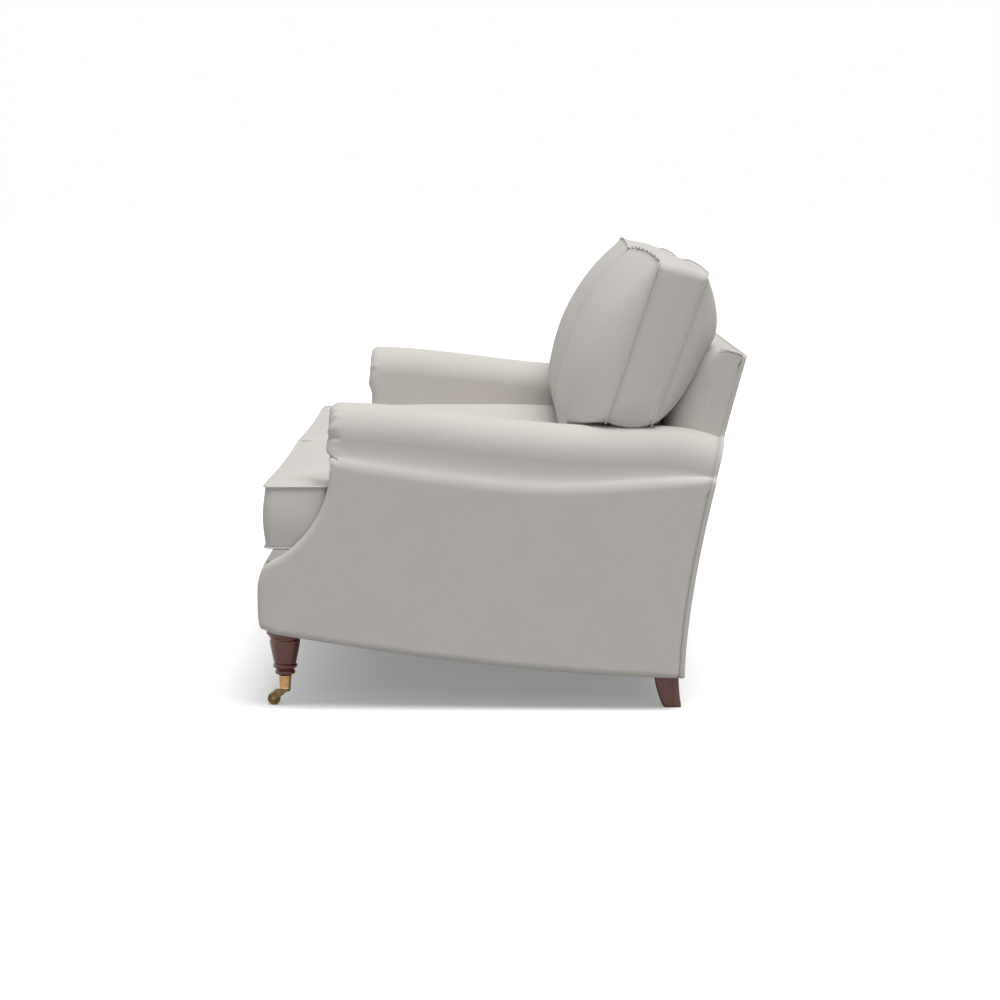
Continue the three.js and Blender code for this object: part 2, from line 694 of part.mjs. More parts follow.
// Legs and castors
function ringOutline(radius, inner, centre) {
  return steps(Math.PI / 2, -Math.PI / 2, 4).map((angle) => [
    inner + (radius - inner) * Math.cos(angle), centre + ringHalf * Math.sin(angle)]);
}
function frontLeg() {
  const top = frontLegTop;
  const flare = steps(Math.PI / 2, -Math.PI / 2, 5).map((angle) => [
    legShoulderRadius + (legFlareRadius - legShoulderRadius) * Math.cos(angle),
    top - legFlareDrop / 2 + (legFlareDrop / 2) * Math.sin(angle)]);
  const vase = new THREE.QuadraticBezierCurve(
    new THREE.Vector2(legVaseRadius, top - legGrooveDrop - ringHalf / 2),
    new THREE.Vector2(legVaseRadius, (top + legVaseEnd) / 2 - ringHalf),
    new THREE.Vector2(legAnkleRadius, legVaseEnd)).getPoints(6).map((p) => [p.x, p.y]);
  const tenonTop = cupTopRadius - cupWall - fitGap;
  const tenonLow = cupBottomRadius - cupWall - fitGap;
  const tenonEnd = cupBottom + cupFloor + pivotHeadThickness + 4 * fitGap;
  return turned([[0, top], ...flare, [legShoulderRadius, top - legGrooveDrop + ringHalf / 2],
    [legGrooveRadius, top - legGrooveDrop], ...vase,
    ...ringOutline(legRingRadius, legAnkleRadius - ringRoot, legRingCentre),
    [legNeckRadius, (legRingCentre + legLowRingCentre) / 2],
    ...ringOutline(legLowRingRadius, legNeckRadius, legLowRingCentre),
    [cupTopRadius, cupTop + 2 * fitGap], [tenonTop, cupTop + fitGap], [tenonTop, cupTop],
    [tenonLow, tenonEnd], [0, tenonEnd]], frontLegX, frontLegY);
}
function castorCup() {
  const hole = pivotRadius + turningClearance;
  return turned([[hole, cupBottom], [cupBottomRadius, cupBottom], [cupTopRadius, cupTop],
    [cupTopRadius - cupWall, cupTop], [cupBottomRadius - cupWall, cupBottom + cupFloor],
    [hole, cupBottom + cupFloor], [hole, cupBottom]], frontLegX, frontLegY);
}
function castorHorn() {
  const plateTop = cupBottom - turningClearance;
  const plateLow = plateTop - hornPlateThickness;
  const headLow = cupBottom + cupFloor + turningClearance / 2;
  const pivot = toSolid(turned([[0, plateLow], [hornPlateRadius, plateLow], [hornPlateRadius, plateTop],
    [pivotRadius, plateTop], [pivotRadius, headLow], [pivotHeadRadius, headLow],
    [pivotHeadRadius, headLow + pivotHeadThickness], [0, headLow + pivotHeadThickness]],
  frontLegX, frontLegY));
  const wheelY = frontLegY - castorTrail;
  const inner = wheelWidth / 2 + turningClearance;
  const bridge = toSolid(block(frontLegX - inner - cheekThickness, frontLegX + inner + cheekThickness,
    wheelY, frontLegY, plateLow, plateTop - turningClearance));
  const arc = steps(0, Math.PI, 8).map((angle) => [
    wheelY - cheekRadius * Math.cos(angle), wheelRadius - cheekRadius * Math.sin(angle)]);
  const cheekOutline = [...arc, [frontLegY, plateLow], [frontLegY, plateTop - turningClearance],
    [wheelY - cheekRadius, plateTop - turningClearance]];
  const cheek = (x0) => toSolid(sideBoard(cheekOutline, x0, x0 + cheekThickness));
  const bore = toSolid(crossRod(axleRadius + runningClearance, frontLegX - overrun, frontLegX + overrun,
    wheelY, wheelRadius));
  return toGeometry(pivot.add(bridge).add(cheek(frontLegX + inner))
    .add(cheek(frontLegX - inner - cheekThickness)).subtract(bore));
}
function castorWheel() {
  const half = wheelWidth / 2;
  const tread = steps(0, Math.PI / 2, 3).map((angle) => [
    wheelRadius - wheelRound + wheelRound * Math.sin(angle), -half + wheelRound
    - wheelRound * Math.cos(angle)]);
  const bore = axleRadius + runningClearance;
  const profile = [[bore, -half], ...tread, ...tread.map(([r, z]) => [r, -z]).reverse(), [bore, half],
    [bore, -half]];
  return welded(turned(profile, 0, 0).rotateY(Math.PI / 2)
    .translate(frontLegX, frontLegY - castorTrail, wheelRadius));
}
function castorAxle() {
  const half = wheelWidth / 2 + turningClearance + cheekThickness;
  const shaft = toSolid(crossRod(axleRadius, frontLegX - half - axleHeadThickness, frontLegX + half
    + axleHeadThickness, frontLegY - castorTrail, wheelRadius));
  const heads = [half + fitGap, -half - fitGap - axleHeadThickness].map((x) => toSolid(crossRod(
    axleHeadRadius, frontLegX + x, frontLegX + x + axleHeadThickness, frontLegY - castorTrail, wheelRadius)));
  return toGeometry(shaft.add(heads[0]).add(heads[1]));
}
function rearLeg() {
  const topY = rearLegFrontY;
  const footRearY = topY + rearLegTopDeep + rearLegRun;
  const front = new THREE.QuadraticBezierCurve(
    new THREE.Vector2(footRearY - rearLegFootDeep, 0),
    new THREE.Vector2(topY + rearLegRun, rearLegTop / 3),
    new THREE.Vector2(topY, rearLegTop)).getPoints(6).map((p) => [p.x, p.y]);
  const rear = new THREE.QuadraticBezierCurve(
    new THREE.Vector2(topY + rearLegTopDeep, rearLegTop),
    new THREE.Vector2(topY + rearLegTopDeep, rearLegTop / 2),
    new THREE.Vector2(footRearY, 0)).getPoints(6).map((p) => [p.x, p.y]);
  return sideBoard([...front, ...rear], rearLegX - rearLegWide / 2, rearLegX + rearLegWide / 2);
}
onBothSides((put) => {
  const legHole = boltHoleAt(frontLegX, frontLegY, frontLegTop - boltIntoLeg - boltEndGap,
    frontLegTop + overrun);
  put('front_leg', toGeometry(toSolid(frontLeg()).subtract(legHole)), mahogany);
  put('front_leg_bolt', rod(boltRadius, frontLegX, frontLegY, frontLegTop - boltIntoLeg,
    frontLegTop + boltIntoFrame), steel);
  put('castor_cup', castorCup(), brass);
  put('castor_horn', castorHorn(), agedBrass);
  put('castor_axle', castorAxle(), agedBrass);
  put('castor_wheel', castorWheel(), agedBrass);
  const footHole = boltHoleAt(rearLegX, rearBoltY, rearLegTop - boltIntoLeg - boltEndGap,
    rearLegTop + overrun);
  put('rear_leg', toGeometry(toSolid(rearLeg()).subtract(footHole)), mahogany);
  put('rear_leg_bolt', rod(boltRadius, rearLegX, rearBoltY, rearLegTop - boltIntoLeg,
    rearLegTop + boltIntoFrame), steel);
});

// Cushions

function edgeDistance(x, y, outline) {
  let least = Infinity;
  outline.forEach(([ax, ay], i) => {
    const [bx, by] = outline[(i + 1) % outline.length];
    const [dx, dy] = [bx - ax, by - ay];
    const along = THREE.MathUtils.clamp(((x - ax) * dx + (y - ay) * dy) / (dx * dx + dy * dy), 0, 1);
    least = Math.min(least, Math.hypot(x - ax - along * dx, y - ay - along * dy));
  });
  return least;
}

// A filled cushion over an L-shaped plan: a body with one ear. Both faces are crowned, the sides
// are drawn in between the corners, and the boxing swells between its two seams. place() sets the
// plan and thickness into the sofa.
function paddedForm(plan, form, counts, place) {
  const { x0, x1, xEar, y0, y1, earY0, earY1 } = plan;
  const xs = [...steps(x0, x1, counts.body), ...steps(x1, xEar, counts.ear).slice(1)];
  const breaks = [y0, earY0, earY1, y1];
  const ys = breaks.flatMap((y, i) => (i < 3 && breaks[i + 1] > y
    ? steps(y, breaks[i + 1], counts.rows[i]).slice(0, -1) : [])).concat([y1]);
  const outline = [[x0, y0], [x1, y0], [x1, earY0], [xEar, earY0], [xEar, earY1], [x1, earY1],
    [x1, y1], [x0, y1]].filter(([x, y], i, all) => i === 0 || x !== all[i - 1][0] || y !== all[i - 1][1]);
  const used = (x, y) => x < x1 || (y > earY0 && y < earY1);
  const drawn = (x, y) => {
    const s = THREE.MathUtils.clamp((x - x0) / (x1 - x0), 0, 1);
    const t = THREE.MathUtils.clamp((y - y0) / (y1 - y0), 0, 1);
    return [x + form.drawIn * 4 * t * (1 - t) * (1 - 2 * s), y + form.drawIn * 4 * s * (1 - s) * (1 - 2 * t)];
  };
  const vertices = [];
  const faces = [];
  const put = (x, y, w) => {
    vertices.push(...place(x, y, w));
    return vertices.length / 3 - 1;
  };
  const columns = xs.map((x) => ys.map((y) => {
    const full = 1 - (1 - Math.min(edgeDistance(x, y, outline) / form.reach, 1)) ** form.power;
    const [px, py] = drawn(x, y);
    return { x: px, y: py, planX: x, planY: y, full, low: -1, high: -1 };
  }));
  const ids = (cell) => {
    if (cell.low < 0) {
      cell.low = put(cell.x, cell.y, form.low - form.crownLow(cell.x, cell.y) * cell.full);
      cell.high = put(cell.x, cell.y, form.high + form.crownHigh(cell.x, cell.y) * cell.full);
    }
    return cell;
  };
  const edges = new Map();
  const border = (a, b) => {
    const back = `${b.low},${a.low}`;
    if (edges.has(back)) edges.delete(back);
    else edges.set(`${a.low},${b.low}`, [a, b]);
  };
  for (let i = 0; i + 1 < xs.length; i += 1) {
    for (let j = 0; j + 1 < ys.length; j += 1) {
      if (!used((xs[i] + xs[i + 1]) / 2, (ys[j] + ys[j + 1]) / 2)) continue;
      const corners = [columns[i][j], columns[i + 1][j], columns[i + 1][j + 1], columns[i][j + 1]];
      const [a, b, c, d] = corners.map(ids);
      faces.push(a.high, b.high, c.high, a.high, c.high, d.high);
      faces.push(b.low, a.low, c.low, c.low, a.low, d.low);
      [[a, b], [b, c], [c, d], [d, a]].forEach(([p, q]) => border(p, q));
    }
  }
  const after = new Map([...edges.values()].map(([a, b]) => [a, b]));
  const before = new Map([...edges.values()].map(([a, b]) => [b, a]));
  const rings = new Map();
  for (const cell of after.keys()) {
    const [from, to] = [before.get(cell), after.get(cell)];
    const across = new THREE.Vector2(to.y - from.y, from.x - to.x).normalize();
    rings.set(cell, [cell.low, ...boxingShares.map((share) => {
      const out = form.bulge * form.swell(cell) * Math.sin(Math.PI * share);
      return put(cell.x + across.x * out, cell.y + across.y * out, form.low + (form.high - form.low) * share);
    }), cell.high]);
  }
  for (const [a, b] of after) {
    const [ra, rb] = [rings.get(a), rings.get(b)];
    for (let k = 0; k + 1 < ra.length; k += 1) {
      faces.push(ra[k], rb[k], rb[k + 1], ra[k], rb[k + 1], ra[k + 1]);
    }
  }
  const geometry = new THREE.BufferGeometry();
  geometry.setAttribute('position', new THREE.Float32BufferAttribute(vertices, 3));
  geometry.setIndex(faces);
  return outward(geometry);
}

function shrunk(plan, wall) {
  return { x0: plan.x0 + wall, x1: plan.x1 - wall, xEar: plan.xEar - wall, y0: plan.y0 + wall,
    y1: plan.y1 - wall, earY0: Math.max(plan.earY0, plan.y0) + wall, earY1: plan.earY1 - wall };
}

const seatPlan = { x0: cushionMiddleGap, x1: armInnerX - cushionSideGap,
  xEar: panelInnerX - cushionSideGap - seatBulge, y0: frontY + seatFrontInset,
  y1: backFrontAt(seatSeamLow) - cushionSideGap, earY0: frontY + seatFrontInset,
  earY1: armFrontY - cushionSideGap };
function seatForm(wall) {
  return { low: seatSeamLow + wall, high: seatSeamLow + seatBoxing - wall, crownLow: () => seatUnderCrown,
    crownHigh: () => seatCrown, drawIn: seatDrawIn, bulge: seatBulge, reach: seatReach,
    power: seatCrownPower, swell: ({ planX, planY }) => Number((planY < seatPlan.y0 + swellMargin
      && planX > swellMargin) || (planX > seatPlan.x1 + swellMargin
      && planY < seatPlan.earY1 - swellMargin)) };
}
const flatPlace = (x, y, w) => [x, y, w];

// The corners of the back cushion's end panel in Y and Z. The rear edge leans on the back.
const endBackLow = [backFrontAt(armTopRear + endLift) - endLowGap, armTopRear + endLift];
const endLean = (backFrontAt(backTop) - endTopGap - endBackLow[0]) / (backTop - endBackLow[1]);
const endBackHigh = [endBackLow[0] + endLean * (backTop + endAbove - endBackLow[1]), backTop + endAbove];
const endFrontLow = [endBackLow[0] - endLowThickness, endBackLow[1] + endLowTip];
const endFrontHigh = [endBackHigh[0] - endHighThickness, endBackHigh[1] + endHighTip];
const backEarHeight = Math.hypot(endBackHigh[0] - endBackLow[0], endBackHigh[1] - endBackLow[1]);

// The body reaches below the ears until its front lower seam lies on the seat cushion.
function seatTopAt(y) {
  const full = 1 - (1 - THREE.MathUtils.clamp((seatPlan.y1 - y) / seatReach, 0, 1)) ** seatCrownPower;
  return seatSeamLow + seatBoxing + seatCrown * full;
}
function restingDrop() {
  const rise = (endFrontHigh[1] - endFrontLow[1]) / backEarHeight;
  const lean = (endFrontHigh[0] - endFrontLow[0]) / backEarHeight;
  return [0, 1, 2, 3].reduce((drop) => (
    (endFrontLow[1] - seatTopAt(endFrontLow[0] - drop * lean) + backCushionSettle) / rise), 0);
}
const backCushionDrop = restingDrop();
const backPlan = { x0: cushionMiddleGap, x1: armInnerX - cushionSideGap, xEar: outerX - backCushionInset,
  y0: -backCushionDrop, y1: backEarHeight, earY0: 0, earY1: backEarHeight };
function backForm(wall) {
  const rear = (x, h) => {
    const above = (h / backEarHeight - rearBulgeFromShare) / (1 - rearBulgeFromShare);
    const fill = endTopGap * backRearFillShare;
    return fill + (backRearCrown - fill)
      * Math.sin(Math.PI * THREE.MathUtils.clamp(above, 0, 1));
  };
  return { low: wall, high: endLowThickness - wall, crownLow: rear,
    crownHigh: () => backFrontCrown, drawIn: backDrawIn, bulge: backBulge, reach: backReach,
    power: backCrownPower, swell: ({ planX, planY }) => Number((planY > backPlan.y1 - swellMargin
      && planX > swellMargin) || (planX > backPlan.x1 + swellMargin && planY > swellMargin)) };
}
// Bilinear between the four corners of the cushion's end panel.
function backPlace(x, h, w) {
  const v = h / backEarHeight;
  const s = w / endLowThickness;
  const at = (k) => (1 - v) * ((1 - s) * endBackLow[k] + s * endFrontLow[k])
    + v * ((1 - s) * endBackHigh[k] + s * endFrontHigh[k]);
  return [x, at(0), at(1)];
}

function cushion(kind, plan, formAt, place, rows, coarseRows, zipBox) {
  const outer = toSolid(paddedForm(plan, formAt(0), { body: 10, ear: 2, rows }, place));
  const coarse = { body: 5, ear: 1, rows: coarseRows };
  const hollow = toSolid(paddedForm(shrunk(plan, coverWall), formAt(coverWall), coarse, place));
  const coreInset = coverWall + fitGap * 2;
  const core = paddedForm(shrunk(plan, coreInset), formAt(coreInset), coarse, place);
  const slot = toSolid(zipBox(0));
  onBothSides((put) => {
    put(`${kind}_cover`, toGeometry(outer.subtract(hollow).subtract(slot)), fabric);
    put(`${kind}_core`, core, foam);
    put(`${kind}_zip`, zipBox(fitGap), zipTape);
  });
}

// The zip lies in a slot through the wall; gap 0 gives the slot, a positive gap the zip itself.
const seatZipZ = seatSeamLow + seatBoxing / 2;
const seatZipY = seatPlan.y1 - seatDrawIn - zipThickness;
cushion('seat_cushion', seatPlan, seatForm, flatPlace, [0, 3, 7], [0, 1, 4], (gap) => block(
  seatPlan.x0 + zipMargin + gap, seatPlan.x1 - zipMargin - gap,
  seatZipY - (gap > 0 ? 0 : coverWall), seatZipY + (gap > 0 ? zipThickness : overrun),
  seatZipZ - zipHeight / 2 + gap, seatZipZ + zipHeight / 2 - gap));

const [, backZipY, backLowZ] = backPlace(0, -backCushionDrop, endLowThickness / 2);
const backZipZ = backLowZ + backDrawIn;
cushion('back_cushion', backPlan, backForm, backPlace, [2, 8, 0], [1, 4, 0], (gap) => block(
  backPlan.x0 + zipMargin + gap, backPlan.x1 - zipMargin - gap,
  backZipY - zipHeight / 2 + gap, backZipY + zipHeight / 2 - gap,
  backZipZ - (gap > 0 ? 0 : overrun), backZipZ + (gap > 0 ? zipThickness : coverWall)));

export default sofa;
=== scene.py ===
"""English roll arm sofa: its fabric, woodwork and castors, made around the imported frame.

All places are in metres in the frame's own axes: +X to the right of a person who faces the sofa's
front, -Y the way the front looks, +Z up. The left half mirrors the right half in X = 0.
"""

import json
import math

import bmesh
import bpy
import numpy as np
from bpy.props import FloatProperty, FloatVectorProperty, IntProperty, PointerProperty
from bpy.types import Operator, Panel, PropertyGroup
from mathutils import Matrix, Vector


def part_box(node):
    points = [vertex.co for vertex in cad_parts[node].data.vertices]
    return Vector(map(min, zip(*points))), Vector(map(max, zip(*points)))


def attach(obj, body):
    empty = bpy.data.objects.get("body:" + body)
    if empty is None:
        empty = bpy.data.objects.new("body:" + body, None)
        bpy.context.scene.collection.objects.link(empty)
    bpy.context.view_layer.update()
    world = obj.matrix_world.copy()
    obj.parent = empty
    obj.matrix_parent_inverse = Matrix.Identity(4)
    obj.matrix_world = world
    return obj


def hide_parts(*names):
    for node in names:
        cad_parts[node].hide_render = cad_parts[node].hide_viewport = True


bl_info = {
    "name": "English roll arm sofa",
    "version": (1, 0, 0),
    "blender": (4, 5, 0),
    "location": "3D View > Sidebar > Sofa",
    "description": "Dresses the frame of an English roll arm sofa with fabric, cushions, legs and castors",
    "category": "Object",
}

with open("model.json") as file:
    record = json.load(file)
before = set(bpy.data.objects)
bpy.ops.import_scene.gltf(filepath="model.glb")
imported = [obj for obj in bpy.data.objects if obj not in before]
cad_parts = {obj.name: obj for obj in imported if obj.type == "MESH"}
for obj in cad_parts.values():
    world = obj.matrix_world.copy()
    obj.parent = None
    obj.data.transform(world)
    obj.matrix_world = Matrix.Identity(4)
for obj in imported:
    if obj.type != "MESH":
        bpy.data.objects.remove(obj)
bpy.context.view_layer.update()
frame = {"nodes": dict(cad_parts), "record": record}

MM = 0.001
SIDES = {"right": 1, "left": -1}


def low(node, axis):
    """The lowest coordinate of a CAD node along an axis, 0 for X, 1 for Y, 2 for Z."""
    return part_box(node)[0][axis]


def high(node, axis):
    """The highest coordinate of a CAD node along an axis."""
    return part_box(node)[1][axis]


def centre_of(node, axis):
    """The middle of a CAD node along an axis."""
    return (low(node, axis) + high(node, axis)) / 2


# Levels and planes that the covers share, read from the frame
OUTER_X = high("outside_arm_right", 0)
PANEL_INNER_X = low("outside_arm_right", 0)
ARM_INNER_X = low("arm_cover_right", 0)
ARM_FRONT_Y = low("arm_cover_right", 1)
FRONT_Y = low("front_border", 1)
APRON_LOW = low("front_border", 2)
DECK_TOP = high("seat_deck", 2)
DECK_LOW = low("seat_deck", 2)
BACK_HALF = high("inside_back", 0)
BACK_TOP = high("outside_back", 2)
BACK_TOP_Y = high("outside_back", 1)
REAR_EDGE = low("outside_back", 2)

# The lines of the sofa's side view, drawn as the frame draws them
REAR_FOOT_Y = BACK_TOP_Y - 125 * MM
ARM_END_Y, RIDGE_END_Y = REAR_FOOT_Y + 62.5 * MM, REAR_FOOT_Y + 30 * MM
RAKE_KNEE = (REAR_FOOT_Y + 2 * MM, 275 * MM)
BACK_DEPTH = 130 * MM
BACK_ROUND = 75 * MM
PANEL_SETBACK = 8.3 * MM
APRON_WIDEST = APRON_LOW + 80 * MM
APRON_TOE, APRON_LEAN = 20 * MM, 31 * MM
ARM_TOP_FRONT, ARM_FALL, ARM_TAIL_DROP, ARM_TAIL = 609 * MM, 47 * MM, 24 * MM, 125 * MM
ROLL_ACROSS, ROLL_UP = 64 * MM, 68 * MM
ROLL_X = ARM_INNER_X + ROLL_ACROSS
ROLL_END = math.radians(-5)
RIDGE_LOW, RIDGE_LOW_Y = 442 * MM, 100 * MM
RIDGE_FRONT_RISE, RIDGE_REAR_RISE = 56 * MM, 23 * MM
SWOOP_RUN, SWOOP_RISE = 130 * MM, 190 * MM
SWOOP_CONTROLS = ((0.015, 0.43), (0.385, 0.826))
FILLET, LIP_ROUND = 13 * MM, 4 * MM
BACK_END_ROUND, BACK_REAR_ROUND = 80 * MM, 4 * MM
BORDER_RETURN, BACK_CROWN = 42 * MM, 13 * MM


def share(value, start, end):
    """How far a value lies from start to end, held between 0 and 1."""
    return np.clip((np.asarray(value, float) - start) / (end - start), 0.0, 1.0)


def eased(value, start, end):
    """The same share, eased at both ends: 3 t squared less 2 t cubed."""
    t = share(value, start, end)
    return t * t * (3 - 2 * t)


def bezier(points, t):
    """A Bezier curve: the control points are blended again and again by the share t."""
    t = np.asarray(t, float)[:, None]
    level = [np.broadcast_to(np.asarray(p, float), (len(t), len(p))) for p in points]
    while len(level) > 1:
        level = [(1 - t) * a + t * b for a, b in zip(level, level[1:])]
    return level[0]


RAKE = bezier([(REAR_FOOT_Y, REAR_EDGE), RAKE_KNEE, (BACK_TOP_Y, BACK_TOP)], np.linspace(0, 1, 120))
KNEE_Y = float(np.interp(RAKE_KNEE[1], RAKE[:, 1], RAKE[:, 0]))
RAKE_SLOPE = (BACK_TOP_Y - KNEE_Y) / (BACK_TOP - RAKE_KNEE[1])


def rear_y(z):
    """Y of the rear face at a height: upright at the foot and raked above the knee."""
    above = np.maximum(np.asarray(z, float) - BACK_TOP, 0) * RAKE_SLOPE
    return np.interp(z, RAKE[:, 1], RAKE[:, 0]) + above


def bottom_edge(y):
    """Height of the bottom edge: it falls from the apron to the rear corner as a 1.6 power."""
    return REAR_EDGE + (APRON_LOW - REAR_EDGE) * share(y, REAR_FOOT_Y, FRONT_Y) ** 1.6


def arm_top(y):
    """Height of the arm: level at the front, eased down to the back, and dropping at its tail."""
    tail = share(y, ARM_END_Y - ARM_TAIL, ARM_END_Y)
    fall = eased(y, ARM_FRONT_Y, ARM_FRONT_Y + 0.8 * (REAR_FOOT_Y - ARM_FRONT_Y))
    return ARM_TOP_FRONT - ARM_FALL * fall - ARM_TAIL_DROP * tail ** 2


def ridge(y):
    """Height of the ridge under the cove: two 1.5 powers that meet at the ridge's lowest point."""
    ahead = np.asarray(y, float) < RIDGE_LOW_Y
    reach = np.where(ahead, RIDGE_LOW_Y - ARM_FRONT_Y, ARM_END_Y - RIDGE_LOW_Y)
    rise = np.where(ahead, RIDGE_FRONT_RISE, RIDGE_REAR_RISE)
    return RIDGE_LOW + rise * (np.abs(y - RIDGE_LOW_Y) / reach) ** 1.5


def apron_y(z):
    """Y of the apron's face: a fourth-power curve below its widest level, a square above it."""
    below, above = share(z, APRON_WIDEST, APRON_LOW), share(z, APRON_WIDEST, DECK_TOP)
    return FRONT_Y + APRON_TOE * (1 - (1 - below ** 4) ** 0.25) + APRON_LEAN * above ** 2


def back_front_y(z):
    """Y of the back's plain front face at a height: parallel to the rake's chord."""
    return BACK_TOP_Y - BACK_DEPTH - RAKE_SLOPE * (BACK_TOP - np.asarray(z, float))


class SofaColours(PropertyGroup):
    """Colours that an upholsterer or polisher would choose."""

    cloth: FloatVectorProperty(name="Cloth", description="Linen-look cover fabric", subtype="COLOR",
                               size=3, min=0, max=1, default=(0.580, 0.553, 0.520))
    wood: FloatVectorProperty(name="Leg stain", description="Dark red mahogany stain", subtype="COLOR",
                              size=3, min=0, max=1, default=(0.122, 0.022, 0.010))
    brass: FloatVectorProperty(name="Ferrule brass", description="Lacquered brass of the cups",
                               subtype="COLOR", size=3, min=0, max=1, default=(0.60, 0.36, 0.15))
    aged_brass: FloatVectorProperty(name="Castor brass", description="Darkened brass of the castors",
                                    subtype="COLOR", size=3, min=0, max=1, default=(0.22, 0.145, 0.065))
    beech: FloatVectorProperty(name="Beech", description="Planed hardwood of the frame", subtype="COLOR",
                               size=3, min=0, max=1, default=(0.57, 0.38, 0.20))


class SofaSizes(PropertyGroup):
    """Sizes of the sewing and of the camera that a user would change."""

    welt: FloatProperty(name="Self welt", description="Thickness of the sewn edge of the cushions",
                        unit="LENGTH", min=0.001, max=0.02, default=4.4 * MM)
    rim: FloatProperty(name="Panel edge", description="Radius of the padded edge of the outside arms",
                       unit="LENGTH", min=0.002, max=0.03, default=15 * MM)
    pleat: FloatProperty(name="Pleat depth", description="Depth of the pleats on the arm fronts",
                         unit="LENGTH", min=0, max=0.02, default=5.5 * MM)
    thread: FloatProperty(name="Thread spacing", description="Distance between two threads of the cloth",
                          unit="LENGTH", min=0.0003, max=0.005, default=1.1 * MM)
    swell: FloatProperty(name="Cushion swell", description="The most that a point of a cushion may move "
                         "while its filling is blown up", unit="LENGTH", min=0, max=0.05, default=8 * MM)
    lens: FloatProperty(name="Lens", description="Focal length of the view's camera", min=20, max=300,
                        subtype="DISTANCE_CAMERA", default=100.04)
    frames: IntProperty(name="Cloth frames", description="Frames of cloth simulation for each cushion",
                        min=1, max=60, default=20)


# Meshes from grids of points

def lengths_along(points, axis):
    """Running length along one axis of a grid of points, for a cloth map in metres."""
    step = np.linalg.norm(np.diff(points, axis=axis), axis=-1)
    start = np.zeros_like(np.take(step, [0], axis=axis))
    return np.concatenate([start, np.cumsum(step, axis=axis)], axis=axis)


def grid_quads(rows, columns, ring=False):
    """Corner numbers of the quads of a grid. With ring, the last column joins the first one."""
    i, j = np.meshgrid(np.arange(rows - 1), np.arange(columns if ring else columns - 1), indexing="ij")
    j_next = (j + 1) % columns
    quads = [i * columns + j, i * columns + j_next, (i + 1) * columns + j_next, (i + 1) * columns + j]
    return np.stack(quads, axis=-1).reshape(-1, 4)


def patch(points, cloth=None, ring=False, finish=0):
    """One grid of a piece: its points, its cloth map in metres, and the number of its material."""
    points = np.asarray(points, float)
    if cloth is None:
        cloth = np.stack([lengths_along(points, 1), lengths_along(points, 0)], axis=-1)
    rows, columns = points.shape[:2]
    return {"points": points.reshape(-1, 3), "cloth": np.asarray(cloth, float).reshape(-1, 2),
            "quads": grid_quads(rows, columns, ring), "finish": finish}


def build_mesh(name, patches, side=1, weld=0.02 * MM):
    """A mesh of several grids: welded where they meet, outward, smooth, with a cloth map in metres."""
    counts = np.cumsum([0] + [len(p["points"]) for p in patches])
    points = np.concatenate([p["points"] for p in patches]) * (side, 1, 1)
    quads = np.concatenate([p["quads"] + start for p, start in zip(patches, counts)])
    cloth = np.concatenate([p["cloth"] for p in patches])
    finishes = np.concatenate([np.full(len(p["quads"]), p["finish"]) for p in patches])
    kept, quads = np.unique(quads, return_inverse=True)
    points, cloth, quads = points[kept], cloth[kept], quads.reshape(-1, 4)
    if side < 0:
        quads = quads[:, ::-1]
    mesh = bpy.data.meshes.new(name)
    mesh.from_pydata(points.tolist(), [], quads.tolist())
    mesh.polygons.foreach_set("material_index", finishes.astype(np.int32))
    uv = mesh.uv_layers.new(name="cloth")
    corners = np.zeros(len(mesh.loops), np.int32)
    mesh.loops.foreach_get("vertex_index", corners)
    uv.data.foreach_set("uv", cloth[corners].astype(np.float32).ravel())
    tidy = bmesh.new()
    tidy.from_mesh(mesh)
    bmesh.ops.remove_doubles(tidy, verts=tidy.verts, dist=weld)
    bmesh.ops.dissolve_degenerate(tidy, edges=tidy.edges, dist=weld / 2)
    bmesh.ops.recalc_face_normals(tidy, faces=tidy.faces)
    tidy.to_mesh(mesh)
    tidy.free()
    mesh.polygons.foreach_set("use_smooth", np.ones(len(mesh.polygons), bool))
    mesh.update()
    return mesh


def piece(name, patches, finishes, side=1, weld=0.02 * MM):
    """A finished object at the origin from its grids and its materials."""
    mesh = build_mesh(name, patches, side, weld)
    for finish in finishes:
        mesh.materials.append(finish)
    made = bpy.data.objects.new(name, mesh)
    bpy.context.scene.collection.objects.link(made)
    return made


def turned(profile, centre, sides=64):
    """A turned surface: each point (radius, height) of a profile goes round an upright axis."""
    profile = np.asarray(profile, float)
    angle = np.linspace(0, 2 * math.pi, sides, endpoint=False)
    radius, height = profile[:, :1], profile[:, 1:]
    points = np.stack([centre[0] + radius * np.cos(angle), centre[1] + radius * np.sin(angle),
                       np.broadcast_to(height, (len(profile), sides))], axis=-1)
    length = np.concatenate([[0], np.cumsum(np.linalg.norm(np.diff(profile, axis=0), axis=1))])
    cloth = np.stack(np.broadcast_arrays(angle * float(profile[:, 0].max()), length[:, None]), axis=-1)
    return patch(points, cloth, ring=True)


